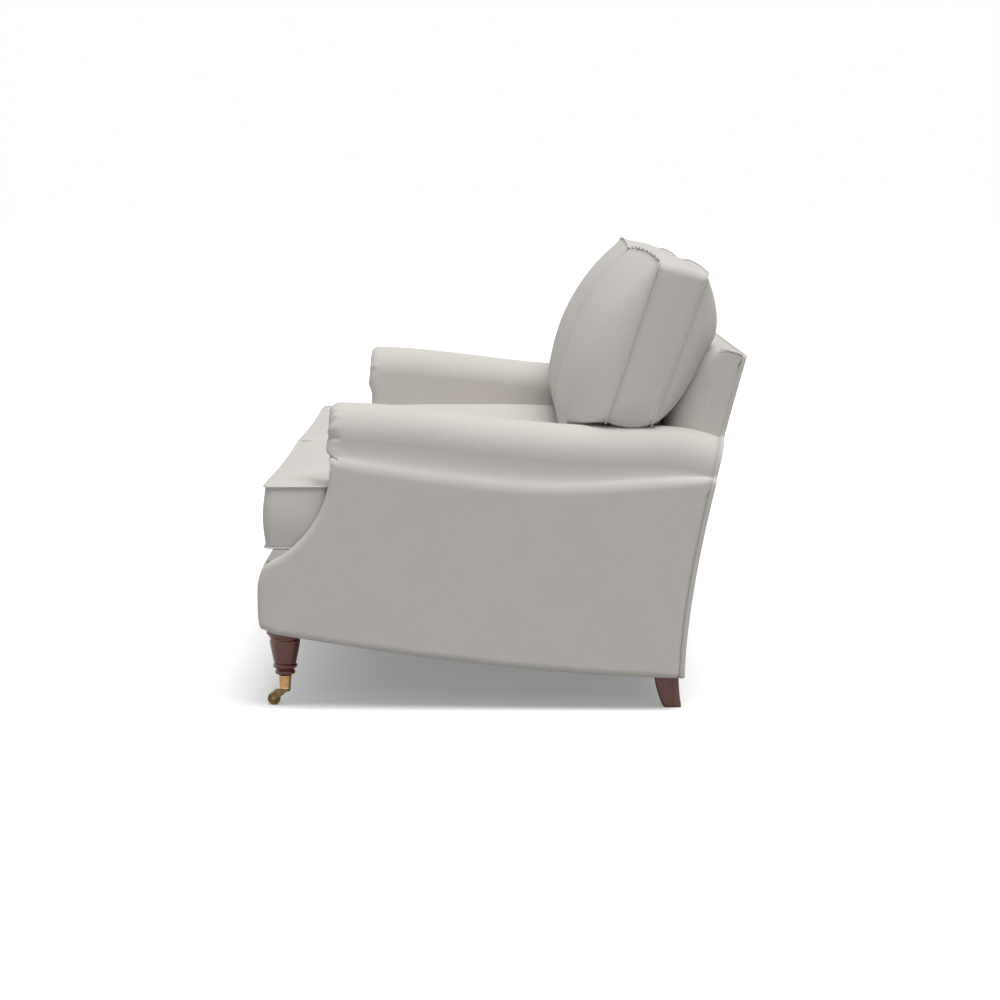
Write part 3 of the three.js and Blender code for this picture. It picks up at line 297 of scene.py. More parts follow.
def piping(path, radius, outward, ring=False, across=1.0, sides=10):
    """A round cord of cloth along a path: each path point carries a circle in the plane of its
    outward direction and the sideways direction square to the path. across flattens the circle."""
    path = np.asarray(path, float)
    ahead = np.roll(path, -1, 0) - np.roll(path, 1, 0) if ring else np.gradient(path, axis=0)
    ahead /= np.maximum(np.linalg.norm(ahead, axis=1, keepdims=True), 1e-12)
    out = np.broadcast_to(np.asarray(outward, float), path.shape)
    out = out - (out * ahead).sum(1, keepdims=True) * ahead
    out /= np.maximum(np.linalg.norm(out, axis=1, keepdims=True), 1e-12)
    sideways = np.cross(ahead, out)
    angle = np.linspace(0, 2 * math.pi, sides, endpoint=False)
    points = (path[None] + radius * np.cos(angle)[:, None, None] * out[None]
              + radius * across * np.sin(angle)[:, None, None] * sideways[None])
    run = lengths_along(path[:, None], 0)[:, 0]
    cloth = np.stack(np.broadcast_arrays(run[None], (angle * radius)[:, None]), axis=-1)
    points = np.concatenate([points, points[:1]])
    cloth = np.concatenate([cloth, cloth[:1] + (0, 2 * math.pi * radius)])
    if ring:
        return [patch(points, cloth, ring=True)]
    ends = [np.stack([points[:, k], np.broadcast_to(path[k], points[:, k].shape)], axis=1) for k in (0, -1)]
    return [patch(points, cloth), *map(patch, ends)]


# Finishes

def feed(tree, made, inputs):
    """Joins a node's inputs to other nodes, or sets them to plain values."""
    for name, value in inputs.items():
        if isinstance(value, bpy.types.NodeSocket):
            tree.links.new(value, made.inputs[name])
        else:
            made.inputs[name].default_value = value


def node(tree, kind, inputs, **values):
    """Adds a node, sets its values and feeds its inputs."""
    made = tree.nodes.new(kind)
    for name, value in values.items():
        setattr(made, name, value)
    feed(tree, made, inputs)
    return made


def maths(tree, operation, a, b=0.0, clamp=False):
    """One step of arithmetic between two values of a node tree."""
    return node(tree, "ShaderNodeMath", {0: a, 1: b}, operation=operation, use_clamp=clamp).outputs[0]


def noise(tree, place, scale, detail, bend=0.0):
    """A cloudy value, bent by a distortion."""
    return node(tree, "ShaderNodeTexNoise", {"Vector": place, "Scale": scale, "Detail": detail,
                                             "Distortion": bend}).outputs["Fac"]


def ranged(tree, value, start, end, low_value=0.0, high_value=1.0):
    """A value carried from one range to another and held within it."""
    return node(tree, "ShaderNodeMapRange", {"Value": value, "From Min": start, "From Max": end,
                                             "To Min": low_value, "To Max": high_value}).outputs[0]


def stretched(tree, place, scale):
    """Coordinates scaled along each axis."""
    return node(tree, "ShaderNodeMapping", {"Vector": place, "Scale": scale}).outputs[0]


def mixed(tree, amount, a, b):
    """A colour between two others."""
    return node(tree, "ShaderNodeMix", {0: amount, 6: a, 7: b}, data_type="RGBA").outputs[2]


def new_group(name, inputs, outputs):
    """A shader node group: named inputs with their defaults, and the names of its values."""
    group = bpy.data.node_groups.new(name, "ShaderNodeTree")
    for label, default in inputs.items():
        kind = "Float" if isinstance(default, float) else "Vector"
        made = group.interface.new_socket(name=label, in_out="INPUT", socket_type=f"NodeSocket{kind}")
        if default is not None:
            made.default_value = default
    for label in outputs:
        group.interface.new_socket(name=label, in_out="OUTPUT", socket_type="NodeSocketFloat")
    return group, group.nodes.new("NodeGroupInput").outputs, group.nodes.new("NodeGroupOutput").inputs


def weave_group():
    """A plain weave: warp and weft threads pass over each other in turn. Each thread is a rounded
    ridge, the square of a sine across it, and a checker says which of the two lies on top."""
    group, ins, outs = new_group("plain_weave", {"Cloth": None, "Spacing": 0.001},
                                 ("Height", "Slub", "Mottle"))
    parts = node(group, "ShaderNodeSeparateXYZ", {0: ins["Cloth"]}).outputs
    turns = [maths(group, "DIVIDE", parts[k], ins["Spacing"]) for k in (0, 1)]
    sines = [maths(group, "SINE", maths(group, "MULTIPLY", turn, math.pi)) for turn in turns]
    waves = [maths(group, "MULTIPLY", sine, sine) for sine in sines]
    cells = [maths(group, "FLOOR", turn) for turn in turns]
    over = maths(group, "ABSOLUTE", maths(group, "MODULO", maths(group, "ADD", *cells), 2.0))
    warp = maths(group, "MULTIPLY", waves[0], over)
    weft = maths(group, "MULTIPLY", waves[1], maths(group, "SUBTRACT", 1.0, over))
    slubs = [noise(group, stretched(group, ins["Cloth"], scale), 1.0, 2.0)
             for scale in ((30.0, 420.0, 1.0), (420.0, 30.0, 1.0))]
    group.links.new(maths(group, "ADD", warp, weft), outs["Height"])
    group.links.new(maths(group, "MULTIPLY", maths(group, "ADD", *slubs), 0.5), outs["Slub"])
    group.links.new(noise(group, ins["Cloth"], 9.0, 4.0), outs["Mottle"])


def grain_group():
    """Wood grain: noises stretched along the board, a coarse one for its bands, a fine one for its pores."""
    group, ins, outs = new_group("wood_grain", {"Place": None, "Stretch": (90.0, 90.0, 6.0)},
                                 ("Bands", "Pores"))
    long = stretched(group, ins["Place"], ins["Stretch"])
    group.links.new(noise(group, long, 1.0, 5.0, 0.6), outs["Bands"])
    group.links.new(noise(group, long, 7.0, 3.0), outs["Pores"])


def wear_group():
    """Rubbed edges: how far the surface's point sticks out, roughened by a noise."""
    group, ins, outs = new_group("rubbed_edges", {"Place": None, "Scale": 60.0}, ("Amount",))
    shape = group.nodes.new("ShaderNodeNewGeometry")
    bent = ranged(group, shape.outputs["Pointiness"], 0.5, 0.58)
    patches = noise(group, ins["Place"], ins["Scale"], 4.0)
    group.links.new(maths(group, "MULTIPLY", bent, patches, clamp=True), outs["Amount"])


def grouped(tree, group, inputs):
    """Places a node group in a material, with its own values."""
    return node(tree, "ShaderNodeGroup", inputs, node_tree=bpy.data.node_groups[group]).outputs


def shade(colour, factor):
    """A colour made darker or lighter, with its alpha."""
    return (*[min(c * factor, 1.0) for c in colour[:3]], 1.0)


def principled(name):
    """A new material with its Principled shader and its object coordinates."""
    made = bpy.data.materials.new(name)
    made.use_nodes = True
    tree = made.node_tree
    place = tree.nodes.new("ShaderNodeTexCoord").outputs["Object"]
    return made, tree, tree.nodes["Principled BSDF"], place


def dress(tree, shader, colour, bump, values):
    """Feeds the shader a colour, a bump of some height, strength and distance, and other values."""
    raised = node(tree, "ShaderNodeBump", dict(zip(("Height", "Strength", "Distance"), bump)))
    feed(tree, shader, {"Base Color": colour, "Normal": raised.outputs[0], **values})


def cloth_finish(name, colour, spacing, depth=0.16, contrast=1.0, roughness=0.9):
    """Fine matt cloth: a plain weave in bump, and in colour as painted shade between its threads and a faint
    painted highlight on their crests; slubs, and a faint mottle.
    """
    _, tree, shader, _ = principled(name)
    cloth = node(tree, "ShaderNodeUVMap", {}, uv_map="cloth").outputs["UV"]
    weave = grouped(tree, "plain_weave", {"Cloth": cloth, "Spacing": spacing})
    # Painted shade: the gaps between the threads are darker, and their crests a little lighter as a painted
    # highlight, following the weave's height.
    threads = mixed(tree, weave["Height"], shade(colour, 1 - 0.10 * contrast),
                    shade(colour, 1 + 0.03 * contrast))
    slubs = ranged(tree, weave["Slub"], 0.3, 0.7, 0.0, 0.5 * contrast)
    slubbed = mixed(tree, slubs, threads, shade(colour, 1 + 0.05 * contrast))
    spread = ranged(tree, weave["Mottle"], 0.3, 0.7, 0.0, 0.35 * contrast)
    rough = ranged(tree, weave["Height"], 0.0, 1.0, min(roughness + 0.06, 1), roughness - 0.04)
    dress(tree, shader, mixed(tree, spread, slubbed, shade(colour, 1 - 0.06 * contrast)),
          (maths(tree, "ADD", weave["Height"], weave["Slub"]), depth, 0.0006),
          {"Roughness": rough, "Sheen Weight": 0.12, "Sheen Roughness": 0.55, "Specular IOR Level": 0.22})


def wood_finish(name, colour, stretch, roughness, gloss=0.0, contrast=0.35):
    """Wood: bands and pores along the board, rubbed lighter along its edges, lacquered if glossy."""
    _, tree, shader, place = principled(name)
    grain = grouped(tree, "wood_grain", {"Place": place, "Stretch": stretch})
    bands = ranged(tree, grain["Bands"], 0.3, 0.7)
    base = mixed(tree, bands, shade(colour, 1 - contrast), shade(colour, 1 + contrast))
    pores = ranged(tree, grain["Pores"], 0.55, 0.75)
    pored = mixed(tree, pores, base, shade(colour, 1 - 1.3 * contrast))
    wear = grouped(tree, "rubbed_edges", {"Place": place})["Amount"]
    rough = ranged(tree, grain["Bands"], 0.0, 1.0, roughness - 0.06, roughness + 0.1)
    dress(tree, shader, mixed(tree, wear, pored, shade(colour, 1.9)), (pores, 0.12, 0.0004),
          {"Roughness": rough, "Coat Weight": gloss, "Coat Roughness": 0.25})


def metal_finish(name, colour, roughness, tarnish):
    """Metal: dark tarnish in patches, bright rubbed edges, and fine marks in its gloss."""
    _, tree, shader, place = principled(name)
    patches = noise(tree, place, 160.0, 5.0)
    stain = ranged(tree, patches, 0.42, 0.68, 0.0, tarnish)
    wear = grouped(tree, "rubbed_edges", {"Place": place, "Scale": 300.0})["Amount"]
    dull = mixed(tree, stain, shade(colour, 1.0), shade(colour, 0.45))
    rough = ranged(tree, patches, 0.0, 1.0, roughness - 0.08, roughness + 0.2)
    dress(tree, shader, mixed(tree, wear, dull, shade(colour, 1.5)),
          (noise(tree, place, 1500.0, 2.0), 0.08, 0.0003), {"Roughness": rough, "Metallic": 1.0})


def strap_finish(name, colour):
    """Elastic webbing: ribs across the strap, drawn on object coordinates in both directions; their hollows
    are darker as painted shade and their crests lighter as a painted highlight.
    """
    _, tree, shader, place = principled(name)
    waves = [node(tree, "ShaderNodeTexWave", {"Vector": place, "Scale": 130.0, "Distortion": 0.4},
                  bands_direction=axis).outputs["Fac"] for axis in ("X", "Y")]
    ribs = maths(tree, "MULTIPLY", *waves)
    # Painted shade in the hollows between the ribs and a painted highlight on their crests, as well as the
    # ribs' bump.
    dress(tree, shader, mixed(tree, ribs, shade(colour, 0.6), shade(colour, 1.5)), (ribs, 0.3, 0.0008),
          {"Roughness": 0.85})


def make_finishes(sizes, colours):
    """Makes the material of each slot of the record."""
    weave_group(), grain_group(), wear_group()
    cloth = tuple(colours.cloth)
    cloth_finish("upholstery_fabric_finish", cloth, sizes.thread)
    cloth_finish("cushion_fabric_finish", cloth, sizes.thread)
    cloth_finish("cushion_filling_finish", (0.80, 0.76, 0.66), 2.4 * MM, 0.5)
    cloth_finish("zip_tape_finish", tuple(c * 0.8 for c in cloth), 0.7 * MM)
    cloth_finish("dust_cloth_finish", (0.022, 0.022, 0.022), 0.8 * MM, 0.3, 2.5)
    strap_finish("webbing_finish", (0.045, 0.043, 0.04))
    wood_finish("frame_wood_finish", tuple(colours.beech), (40.0, 8.0, 40.0), 0.6, contrast=0.14)
    wood_finish("leg_wood_finish", tuple(colours.wood), (90.0, 90.0, 7.0), 0.34, gloss=0.5)
    metal_finish("castor_brass_finish", tuple(colours.brass), 0.28, 0.5)
    metal_finish("castor_aged_brass_finish", tuple(colours.aged_brass), 0.42, 0.8)
    metal_finish("steel_finish", (0.42, 0.42, 0.43), 0.35, 0.3)


def finish_for(slot):
    """The material of one of the record's slots."""
    return bpy.data.materials[f"{slot}_finish"]


# Forms that several covers share

def outline_normals(outline, mitred=True):
    """Inward directions of a closed outline that runs anticlockwise. Mitred, they are longer at its
    corners, so that both edges step in by the same amount."""
    ahead = np.roll(outline, -1, 0) - outline
    ahead /= np.maximum(np.linalg.norm(ahead, axis=1, keepdims=True), 1e-12)
    inward = np.stack([-ahead[:, 1], ahead[:, 0]], axis=1)
    both = inward + np.roll(inward, 1, 0)
    both /= np.maximum(np.linalg.norm(both, axis=1, keepdims=True), 1e-12)
    return both / np.clip((both * inward).sum(1, keepdims=True), 0.5, 1) if mitred else both


def plate(outline, centre, rim, thickness, place, rings=8, steps=7):
    """A closed panel from an anticlockwise outline. Its rings step in by r(1 - cos a), towards a centre,
    while its face rises by r sin a, but by no more than 80% of its thickness: a quarter ellipse. Then
    they close on the centre. place(u, v, depth) sets them."""
    outline = np.asarray(outline, float)
    rim = np.broadcast_to(np.asarray(rim, float), len(outline))[:, None]
    inward = (centre - outline) / np.linalg.norm(centre - outline, axis=1, keepdims=True)
    inward /= np.clip((inward * outline_normals(outline, False)).sum(1, keepdims=True), 0.25, 1)
    angle = np.linspace(0, math.pi / 2, steps)
    rise = np.minimum(rim[:, 0], 0.8 * thickness)
    edge = [(outline + inward * rim * (1 - math.cos(a)), rise * (1 - math.sin(a))) for a in angle]
    inner = edge[-1][0]
    face = [(inner + (centre - inner) * t, 0.0 * rim[:, 0]) for t in (0.006, *np.linspace(0, 1, rings)[1:])]
    back = [(outline + (centre - outline) * t, 0.0 * rim[:, 0] + thickness) for t in (1, 0.5, 0)]
    rows = back + edge + face
    uv = np.stack([row for row, _ in rows])
    depth = np.stack([d for _, d in rows])
    points = place(uv[..., 0], uv[..., 1], depth)
    return patch(points, uv, ring=True)


def bolster(profile, half, end_round, columns=40, steps=9, spine=None):
    """A closed profile in Y and Z carried along X. Its ends are rounded by quarter circles, whose
    radius may differ from point to point, and close on a spine: one point inside for each of its own."""
    profile = np.asarray(profile, float)
    spine = np.broadcast_to(profile.mean(0) if spine is None else spine, profile.shape)
    inward = (spine - profile) / np.linalg.norm(spine - profile, axis=1, keepdims=True)
    inward /= np.clip((inward * outline_normals(profile, False)).sum(1, keepdims=True), 0.5, 1)
    radius = np.broadcast_to(np.asarray(end_round, float), len(profile))
    turn = np.linspace(0, math.pi / 2, steps)
    ends = [(half - radius * (1 - math.sin(a)), radius * (1 - math.cos(a)), 0.0) for a in turn]
    ends += [(half + 0 * radius, radius, t) for t in (0.05, 0.35, 0.7, 1.0)]
    body = [(x * (half - radius), 0 * radius, 0.0) for x in np.linspace(-1, 1, columns)[1:-1]]
    run = np.concatenate([[0], np.cumsum(np.linalg.norm(np.diff(profile, axis=0), axis=1))])
    rows, cloth = [], []
    for x, inset, closing in [(-x, i, t) for x, i, t in reversed(ends)] + body + ends:
        ring = profile + inward * inset[:, None]
        ring = ring + (spine - ring) * closing
        rows.append(np.stack([x, ring[:, 0], ring[:, 1]], axis=1))
        cloth.append(np.stack([x, run], axis=1))
    return patch(np.stack(rows), np.stack(cloth), ring=True)


def to_side(x_face):
    """Sets a panel drawn in Y and Z upright, its face at a given X."""
    return lambda u, v, depth: np.stack([x_face - depth, u, v], axis=-1)


# Arms

# Folds of the arm's front: angle round the roll in degrees, strength, and how far the angle turns
# with each metre behind the front
PLEATS = ((66, 0.6, 300), (48, 0.45, 500), (35, 0.6, 0), (-1, 1.4, 100), (102, 0.45, 0), (140, 0.3, 0))
THROAT, THROAT_PULL = 32 * MM, 4.5 * MM


def swoop_line(count=40):
    """The swoop of the outside arm, from its top to its foot, as a cubic curve in Y and Z."""
    top = np.array([ARM_FRONT_Y + THROAT_PULL, float(ridge(ARM_FRONT_Y)) - FILLET])
    span = np.array([SWOOP_RUN, SWOOP_RISE])
    controls = [top - span * np.array(c) for c in SWOOP_CONTROLS]
    return bezier([top, *controls, top - span], np.linspace(0, 1, count))


def outside_arm_patch(rim):
    """The outside arm as a panel in Y and Z: bottom edge, rear edge, ridge, swoop and apron face."""
    swoop = swoop_line()
    tip_z = swoop[-1][1] - 6 * MM
    ys = np.linspace(FRONT_Y + APRON_TOE + 10 * MM, REAR_FOOT_Y - PANEL_SETBACK, 60)
    bottom = np.stack([ys, bottom_edge(ys)], axis=1)
    rear_top = float(ridge(RIDGE_END_Y)) - FILLET
    zs = np.linspace(REAR_EDGE, rear_top, 40)
    rear = np.stack([rear_y(zs) - PANEL_SETBACK, zs], axis=1)
    top_ys = np.linspace(rear[-1][0], ARM_FRONT_Y + THROAT_PULL, 90)
    top = np.stack([top_ys, ridge(top_ys) - FILLET], axis=1)
    apron_z = np.linspace(tip_z - 4 * MM, APRON_LOW + 8 * MM, 30)
    front = np.stack([apron_y(apron_z), apron_z], axis=1)
    heel = bezier([bottom[-2], bottom[-1], rear[1]], np.linspace(0, 1, 6))
    toe_corner = (FRONT_Y + APRON_TOE, APRON_LOW)
    toe = bezier([front[-1], toe_corner, bottom[0]], np.linspace(0, 1, 8))
    tip_corner = (swoop[-1] + front[0]) / 2 + (-1.2 * MM, 0.5 * MM)
    tip = bezier([swoop[-3], tip_corner, front[0]], np.linspace(0, 1, 9))
    lower_swoop = swoop[swoop[:, 1] < top[-1][1] - 2 * MM][:-3]
    parts = [bottom[:-2], heel, rear[2:-1], top, lower_swoop, tip, front[1:-1], toe[:-1]]
    line = np.concatenate(parts)
    # The top edge lies under the arm's lip and is sharp, all others are padded
    sharp = np.concatenate([np.full(len(part), part is top) for part in parts])
    radius = np.where(sharp, 0.15 * MM, rim)
    first, last = np.flatnonzero(sharp)[[0, -1]]
    radius[last] = LIP_ROUND
    radius[last + 1:last + 11] = LIP_ROUND + (rim - LIP_ROUND) * eased(np.arange(1, 11), 0, 11)
    radius[first - 1:first + 1] = (0.5 * rim, 0.15 * MM)
    centre = np.array([-100 * MM, 255 * MM])
    return plate(line, centre, radius, OUTER_X - PANEL_INNER_X, to_side(OUTER_X))


def roll_fullness(angle):
    """How far the roll's outer half stands out from its ellipse: 3.5% sin(2 a) squared."""
    return 1 + 0.035 * np.where(np.cos(angle) > 0, np.sin(2 * angle) ** 2, 0.0)


def arm_patches(pleat):
    """The arm from its inside foot over the roll and cove to the ridge, carried along Y.

    Roll: a point at an angle on an ellipse. Cove: a quadratic curve from the roll's last point.
    Ridge: a quadratic curve that turns the cove into the upright panel. The front draws in by a
    quarter ellipse and closes on a spine; pleats run in from the rim at set angles."""
    front_round, front_pull, pleat_reach = 22 * MM, 16 * MM, 24 * MM
    turn = np.linspace(0, math.pi / 2, 10)
    dome_y = ARM_FRONT_Y + front_round * (1 - np.cos(turn))
    dome_in = front_pull * (1 - np.sin(turn))
    ys = np.concatenate([dome_y, np.linspace(dome_y[-1], dome_y[-1] + pleat_reach, 9)[1:],
                         np.linspace(dome_y[-1] + pleat_reach, ARM_END_Y, 56)[1:]])
    inset = np.concatenate([dome_in, np.zeros(len(ys) - len(dome_in))])
    lip_y = ARM_FRONT_Y + THROAT_PULL
    rim_in = LIP_ROUND * (1 - np.sqrt(1 - share(ys, lip_y + LIP_ROUND, lip_y) ** 2))
    centre = arm_top(ys) - ROLL_UP
    rim_z = ridge(ys)

    angle = np.linspace(math.pi, ROLL_END, 56)[:, None]
    across, up = ROLL_ACROSS - inset, ROLL_UP - inset
    full = roll_fullness(angle)
    roll = np.stack([ROLL_X + across * full * np.cos(angle), centre + up * full * np.sin(angle)], axis=-1)
    foot = np.stack([np.full(len(ys), ARM_INNER_X) + inset, np.full(len(ys), DECK_LOW)], axis=-1)
    rise = np.linspace(0, 1, 10)[:-1, None, None]
    inside = foot[None] + (roll[0] - foot)[None] * rise

    last = roll[-1]
    corner = np.stack([OUTER_X - rim_in, rim_z], axis=-1)
    control = np.stack([last[:, 0], rim_z + 0.42 * (last[:, 1] - rim_z)], axis=-1)
    fall = corner - control
    fall /= np.linalg.norm(fall, axis=1, keepdims=True)
    start = corner - fall * FILLET
    end = corner - (0, FILLET)
    t = np.linspace(0, 1, 16)[1:, None, None]
    cove = (1 - t) ** 2 * last + 2 * t * (1 - t) * control + t ** 2 * start
    t = np.linspace(0, 1, 7)[1:, None, None]
    lip = (1 - t) ** 2 * start + 2 * t * (1 - t) * corner + t ** 2 * end

    # Under the lip a skirt goes down behind the outside panel
    hidden = end - (0.15 * MM, 0)
    behind = np.stack([np.minimum(hidden[:, 0], PANEL_INNER_X), end[:, 1] - 12 * MM], axis=-1)
    foot_behind = np.stack([behind[:, 0], np.full(len(ys), DECK_LOW)], axis=-1)
    skirt = np.stack([end - (0.02 * MM, 1 * MM), hidden - (0, 3 * MM), hidden - (0, 12 * MM), behind,
                      foot_behind])
    section = np.concatenate([inside, roll, cove, lip, skirt])
    rows = len(section)
    points = np.stack([section[..., 0], np.broadcast_to(ys, section.shape[:2]), section[..., 1]], axis=-1)

    # The rear end leans with the rake
    lean = eased(ys, 120 * MM, ARM_END_Y)
    points[..., 1] += lean * (rear_y(points[..., 2]) - PANEL_SETBACK - ARM_END_Y)

    # The front closes on a spine of the roll's centre and the wall below it
    front, rear = points[:, 0], points[:, -1]
    middle = np.full(rows, ROLL_X)
    spine = np.stack([middle, np.full(rows, front[0, 1]), np.minimum(front[:, 2], centre[0])], axis=-1)
    closing = np.linspace(0, 1, 12)[1:, None, None]
    cap = front[None] + (spine - front)[None] * closing
    cap[..., 1] -= 1.5 * MM * np.sin(closing[..., 0] * math.pi)
    rear_low = np.minimum(rear[:, 2], centre[-1])
    rear_spine = np.stack([middle, rear_y(rear_low) - PANEL_SETBACK, rear_low], axis=-1)
    shell = np.concatenate([cap[::-1], points.transpose(1, 0, 2), rear_spine[None]])
    along, round_it = lengths_along(points, 1).mean(0), lengths_along(points, 0)
    cloth = np.stack(np.broadcast_arrays(along[:, None], round_it.T), axis=-1)
    cloth = np.concatenate([cap[::-1][..., [0, 2]], cloth, cloth[-1:]])
    return [patch(pleated(shell, centre[0], pleat), cloth, ring=True)]


def pleated(shell, centre_z, depth):
    """Pleats of the arm's front: round the roll's centre, the cloth swells between sharp folds.
    A fold's depth falls off as exp(-|angle - fold| / width), to nothing 34 mm behind the front
    and at the roll's centre. The deepest fold runs down and back along the throat, under which the
    front steps back."""
    x, y, z = shell[..., 0] - ROLL_X, shell[..., 1] - ARM_FRONT_Y, shell[..., 2] - centre_z
    reach = np.hypot(x / ROLL_ACROSS, z / ROLL_UP)
    angle = np.degrees(np.arctan2(z, x))
    behind = 1 - eased(y, 6 * MM, 34 * MM)
    ahead = eased(reach, 0.12, 0.7)
    above = eased(z, -52 * MM, -40 * MM) * (1 - eased(angle, 165, 178))
    sunk = np.zeros_like(x)
    for fold, strength, twist in PLEATS:
        off = angle - fold - twist * y
        sharp = np.exp(-np.abs(off) / 3.2) + 0.35 * np.exp(-np.maximum(off, 0) / 12.0) * (off > 0)
        sunk += strength * sharp
    under = z + THROAT + 0.5 * np.maximum(y, 0)
    sunk += np.where(x > 0, 1.5 * np.exp(-np.abs(under) / (2.4 * MM)), 0.0)
    swell = 0.30 * np.cos(np.radians(angle * 9.0)) ** 2
    amount = depth * behind * ahead * above * (sunk - swell)
    out = shell.copy()
    radius = np.maximum(np.hypot(x, z), 1e-6)
    side = eased(y, -2 * MM, 12 * MM)
    out[..., 0] -= amount * (0.35 + 0.65 * side) * x / radius
    out[..., 2] -= amount * (0.35 + 0.65 * side) * z / radius
    front = 1 - eased(y, 4 * MM, 34 * MM)
    throat = (1 - eased(under, -3 * MM, 3 * MM)) * front
    lean = (6 * MM * eased(z, -45 * MM, 55 * MM) - 3 * MM) * front * (1 - throat)
    out[..., 1] += 0.9 * amount * (1 - 0.6 * side) + THROAT_PULL * throat + lean
    return out


# Back, border and deck

def back_profile():
    """The back in Y and Z: raked rear line, rounded top front edge and plain front face."""
    zs = np.linspace(DECK_LOW, BACK_TOP - 9 * MM, 24)
    rear = np.stack([rear_y(zs) - PANEL_SETBACK, zs], axis=1)
    top_front = float(back_front_y(BACK_TOP))
    corner = (top_front, BACK_TOP)
    rear_corner = (BACK_TOP_Y - PANEL_SETBACK, BACK_TOP)
    rounded_to = (rear_corner[0] - 9 * MM, BACK_TOP)
    rear_round = bezier([rear[-1], rear_corner, rounded_to], np.linspace(0, 1, 7))[1:]
    flat = np.linspace(rounded_to[0], top_front + BACK_ROUND, 8)[1:-1]
    rear_round = np.concatenate([rear_round, np.stack([flat, 0 * flat + BACK_TOP], axis=1)])
    face_z = BACK_TOP - BACK_ROUND
    turn = bezier([(top_front + BACK_ROUND, BACK_TOP), corner, (float(back_front_y(face_z)), face_z)],
                  np.linspace(0, 1, 14))
    down = np.linspace(face_z, DECK_LOW, 20)[1:]
    face = np.stack([back_front_y(down), down], axis=1)
    line = np.concatenate([rear, rear_round, turn, face])
    over = share(line[:, 0], top_front, rear_corner[0]) * eased(line[:, 1], BACK_TOP - 40 * MM, BACK_TOP)
    line[:, 1] += BACK_CROWN * np.sin(math.pi * over)
    return line


def back_spine(profile):
    """Points inside the back on which its ends close: a line behind its front face."""
    z = np.clip(profile[:, 1], DECK_LOW + BACK_END_ROUND / 2, BACK_TOP - BACK_END_ROUND)
    return np.stack([back_front_y(z) + 1.3 * BACK_END_ROUND, z], axis=1)


def back_ends(profile):
    """How far the back's ends are rounded: widely along the front face, narrowly at the rear."""
    behind = profile[:, 0] - back_front_y(profile[:, 1])
    return BACK_REAR_ROUND + (BACK_END_ROUND - BACK_REAR_ROUND) * share(behind, 100 * MM, 0) ** 1.5


def back_seams(profile):
    """The fine seams that run over the two top ends of the back."""
    behind = profile[:, 0] - back_front_y(profile[:, 1])
    y, z = (profile[(profile[:, 1] > BACK_TOP - 30 * MM) & (behind > 62 * MM)] - (0, 1 * MM)).T
    return [made for side in (-1, 1) for made in piping(
        np.stack([np.full(len(y), side * BACK_HALF), y, z], axis=1), 1.3 * MM, (side, 0, 0))]


def border_profile():
    """The apron in Y and Z: its padded face, rolled back over the top of the rail."""
    zs = np.concatenate([np.linspace(APRON_LOW, APRON_WIDEST, 16),
                         np.linspace(APRON_WIDEST, DECK_TOP, 18)[1:]])
    face = np.stack([apron_y(zs), zs], axis=1)
    back_y, toe_y = FRONT_Y + APRON_LEAN + BORDER_RETURN, FRONT_Y + APRON_TOE
    return np.concatenate([face, [(back_y, DECK_TOP), (back_y, DECK_LOW), (toe_y, DECK_LOW),
                                  (toe_y + 2 * MM, APRON_LOW)]])[::-1]


def upright_line(x, start, end, count):
    """Points of an upright line in X and Z."""
    return np.stack([np.full(count, x), np.linspace(start, end, count)], axis=1)


def outside_back_outline():
    """Half of the outside back in X and Z, from its foot to its top: full width up to the arm's
    end, round the roll, then the width of the back."""
    shoulder = float(arm_top(ARM_END_Y))
    turn = np.linspace(ROLL_END, math.pi / 2, 14)
    full = roll_fullness(turn)
    roll = np.stack([ROLL_X + ROLL_ACROSS * full * np.cos(turn),
                     shoulder - ROLL_UP + ROLL_UP * full * np.sin(turn)], axis=1)
    rim_z = float(ridge(RIDGE_END_Y))
    side = upright_line(OUTER_X, REAR_EDGE + 8 * MM, rim_z - 12 * MM, 24)
    cove = bezier([side[-1], (OUTER_X, rim_z), roll[0]], np.linspace(0, 1, 6))[1:]
    above = upright_line(BACK_HALF, shoulder + 6 * MM, BACK_TOP - 10 * MM, 10)
    neck = bezier([roll[-2], (BACK_HALF, shoulder), above[0]], np.linspace(0, 1, 5))[1:-1]
    top_x = BACK_HALF - 10 * MM
    top = bezier([above[-1], (BACK_HALF, BACK_TOP), (top_x, BACK_TOP)], np.linspace(0, 1, 6))[1:]
    across = np.stack([np.linspace(top_x, 0, 26)[1:], np.full(25, BACK_TOP)], axis=1)
    foot = bezier([(OUTER_X - 8 * MM, REAR_EDGE), (OUTER_X, REAR_EDGE), side[0]], np.linspace(0, 1, 6))[:-1]
    below = np.stack([np.linspace(0, OUTER_X - 8 * MM, 28)[:-1], np.full(27, REAR_EDGE)], axis=1)
    return np.concatenate([below, foot, side, cove, roll[1:-1], neck, above, top, across])


def both_halves(half):
    """Closes a half outline that starts and ends on X = 0 with its mirror image."""
    return np.concatenate([half, half[-2:0:-1] * (-1, 1)])


def raked(u, v, depth):
    """Sets a panel drawn in X and Z on the rear face, its face looking backwards."""
    return np.stack([u, rear_y(v) - depth, v], axis=-1)


def outside_back_patches():
    """The outside back: a thin padded panel and a cord round its edge."""
    outline = both_halves(outside_back_outline())
    inward = outline_normals(outline)
    panel = plate(outline, np.array([0, 400 * MM]), 4 * MM, 10 * MM, raked, rings=30)
    edge = outline + inward * 2.0 * MM
    path = raked(edge[:, 0], edge[:, 1], np.full(len(edge), 5.4 * MM))
    away = np.stack([-inward[:, 0], 0 * inward[:, 0], -inward[:, 1]], axis=1)
    return [panel, *piping(path, 2.6 * MM, away, ring=True)]


def on_deck(u, v, depth):
    """Sets a panel drawn in plan level, its face at the top of the deck."""
    return np.stack([u, v, DECK_TOP - depth], axis=-1)


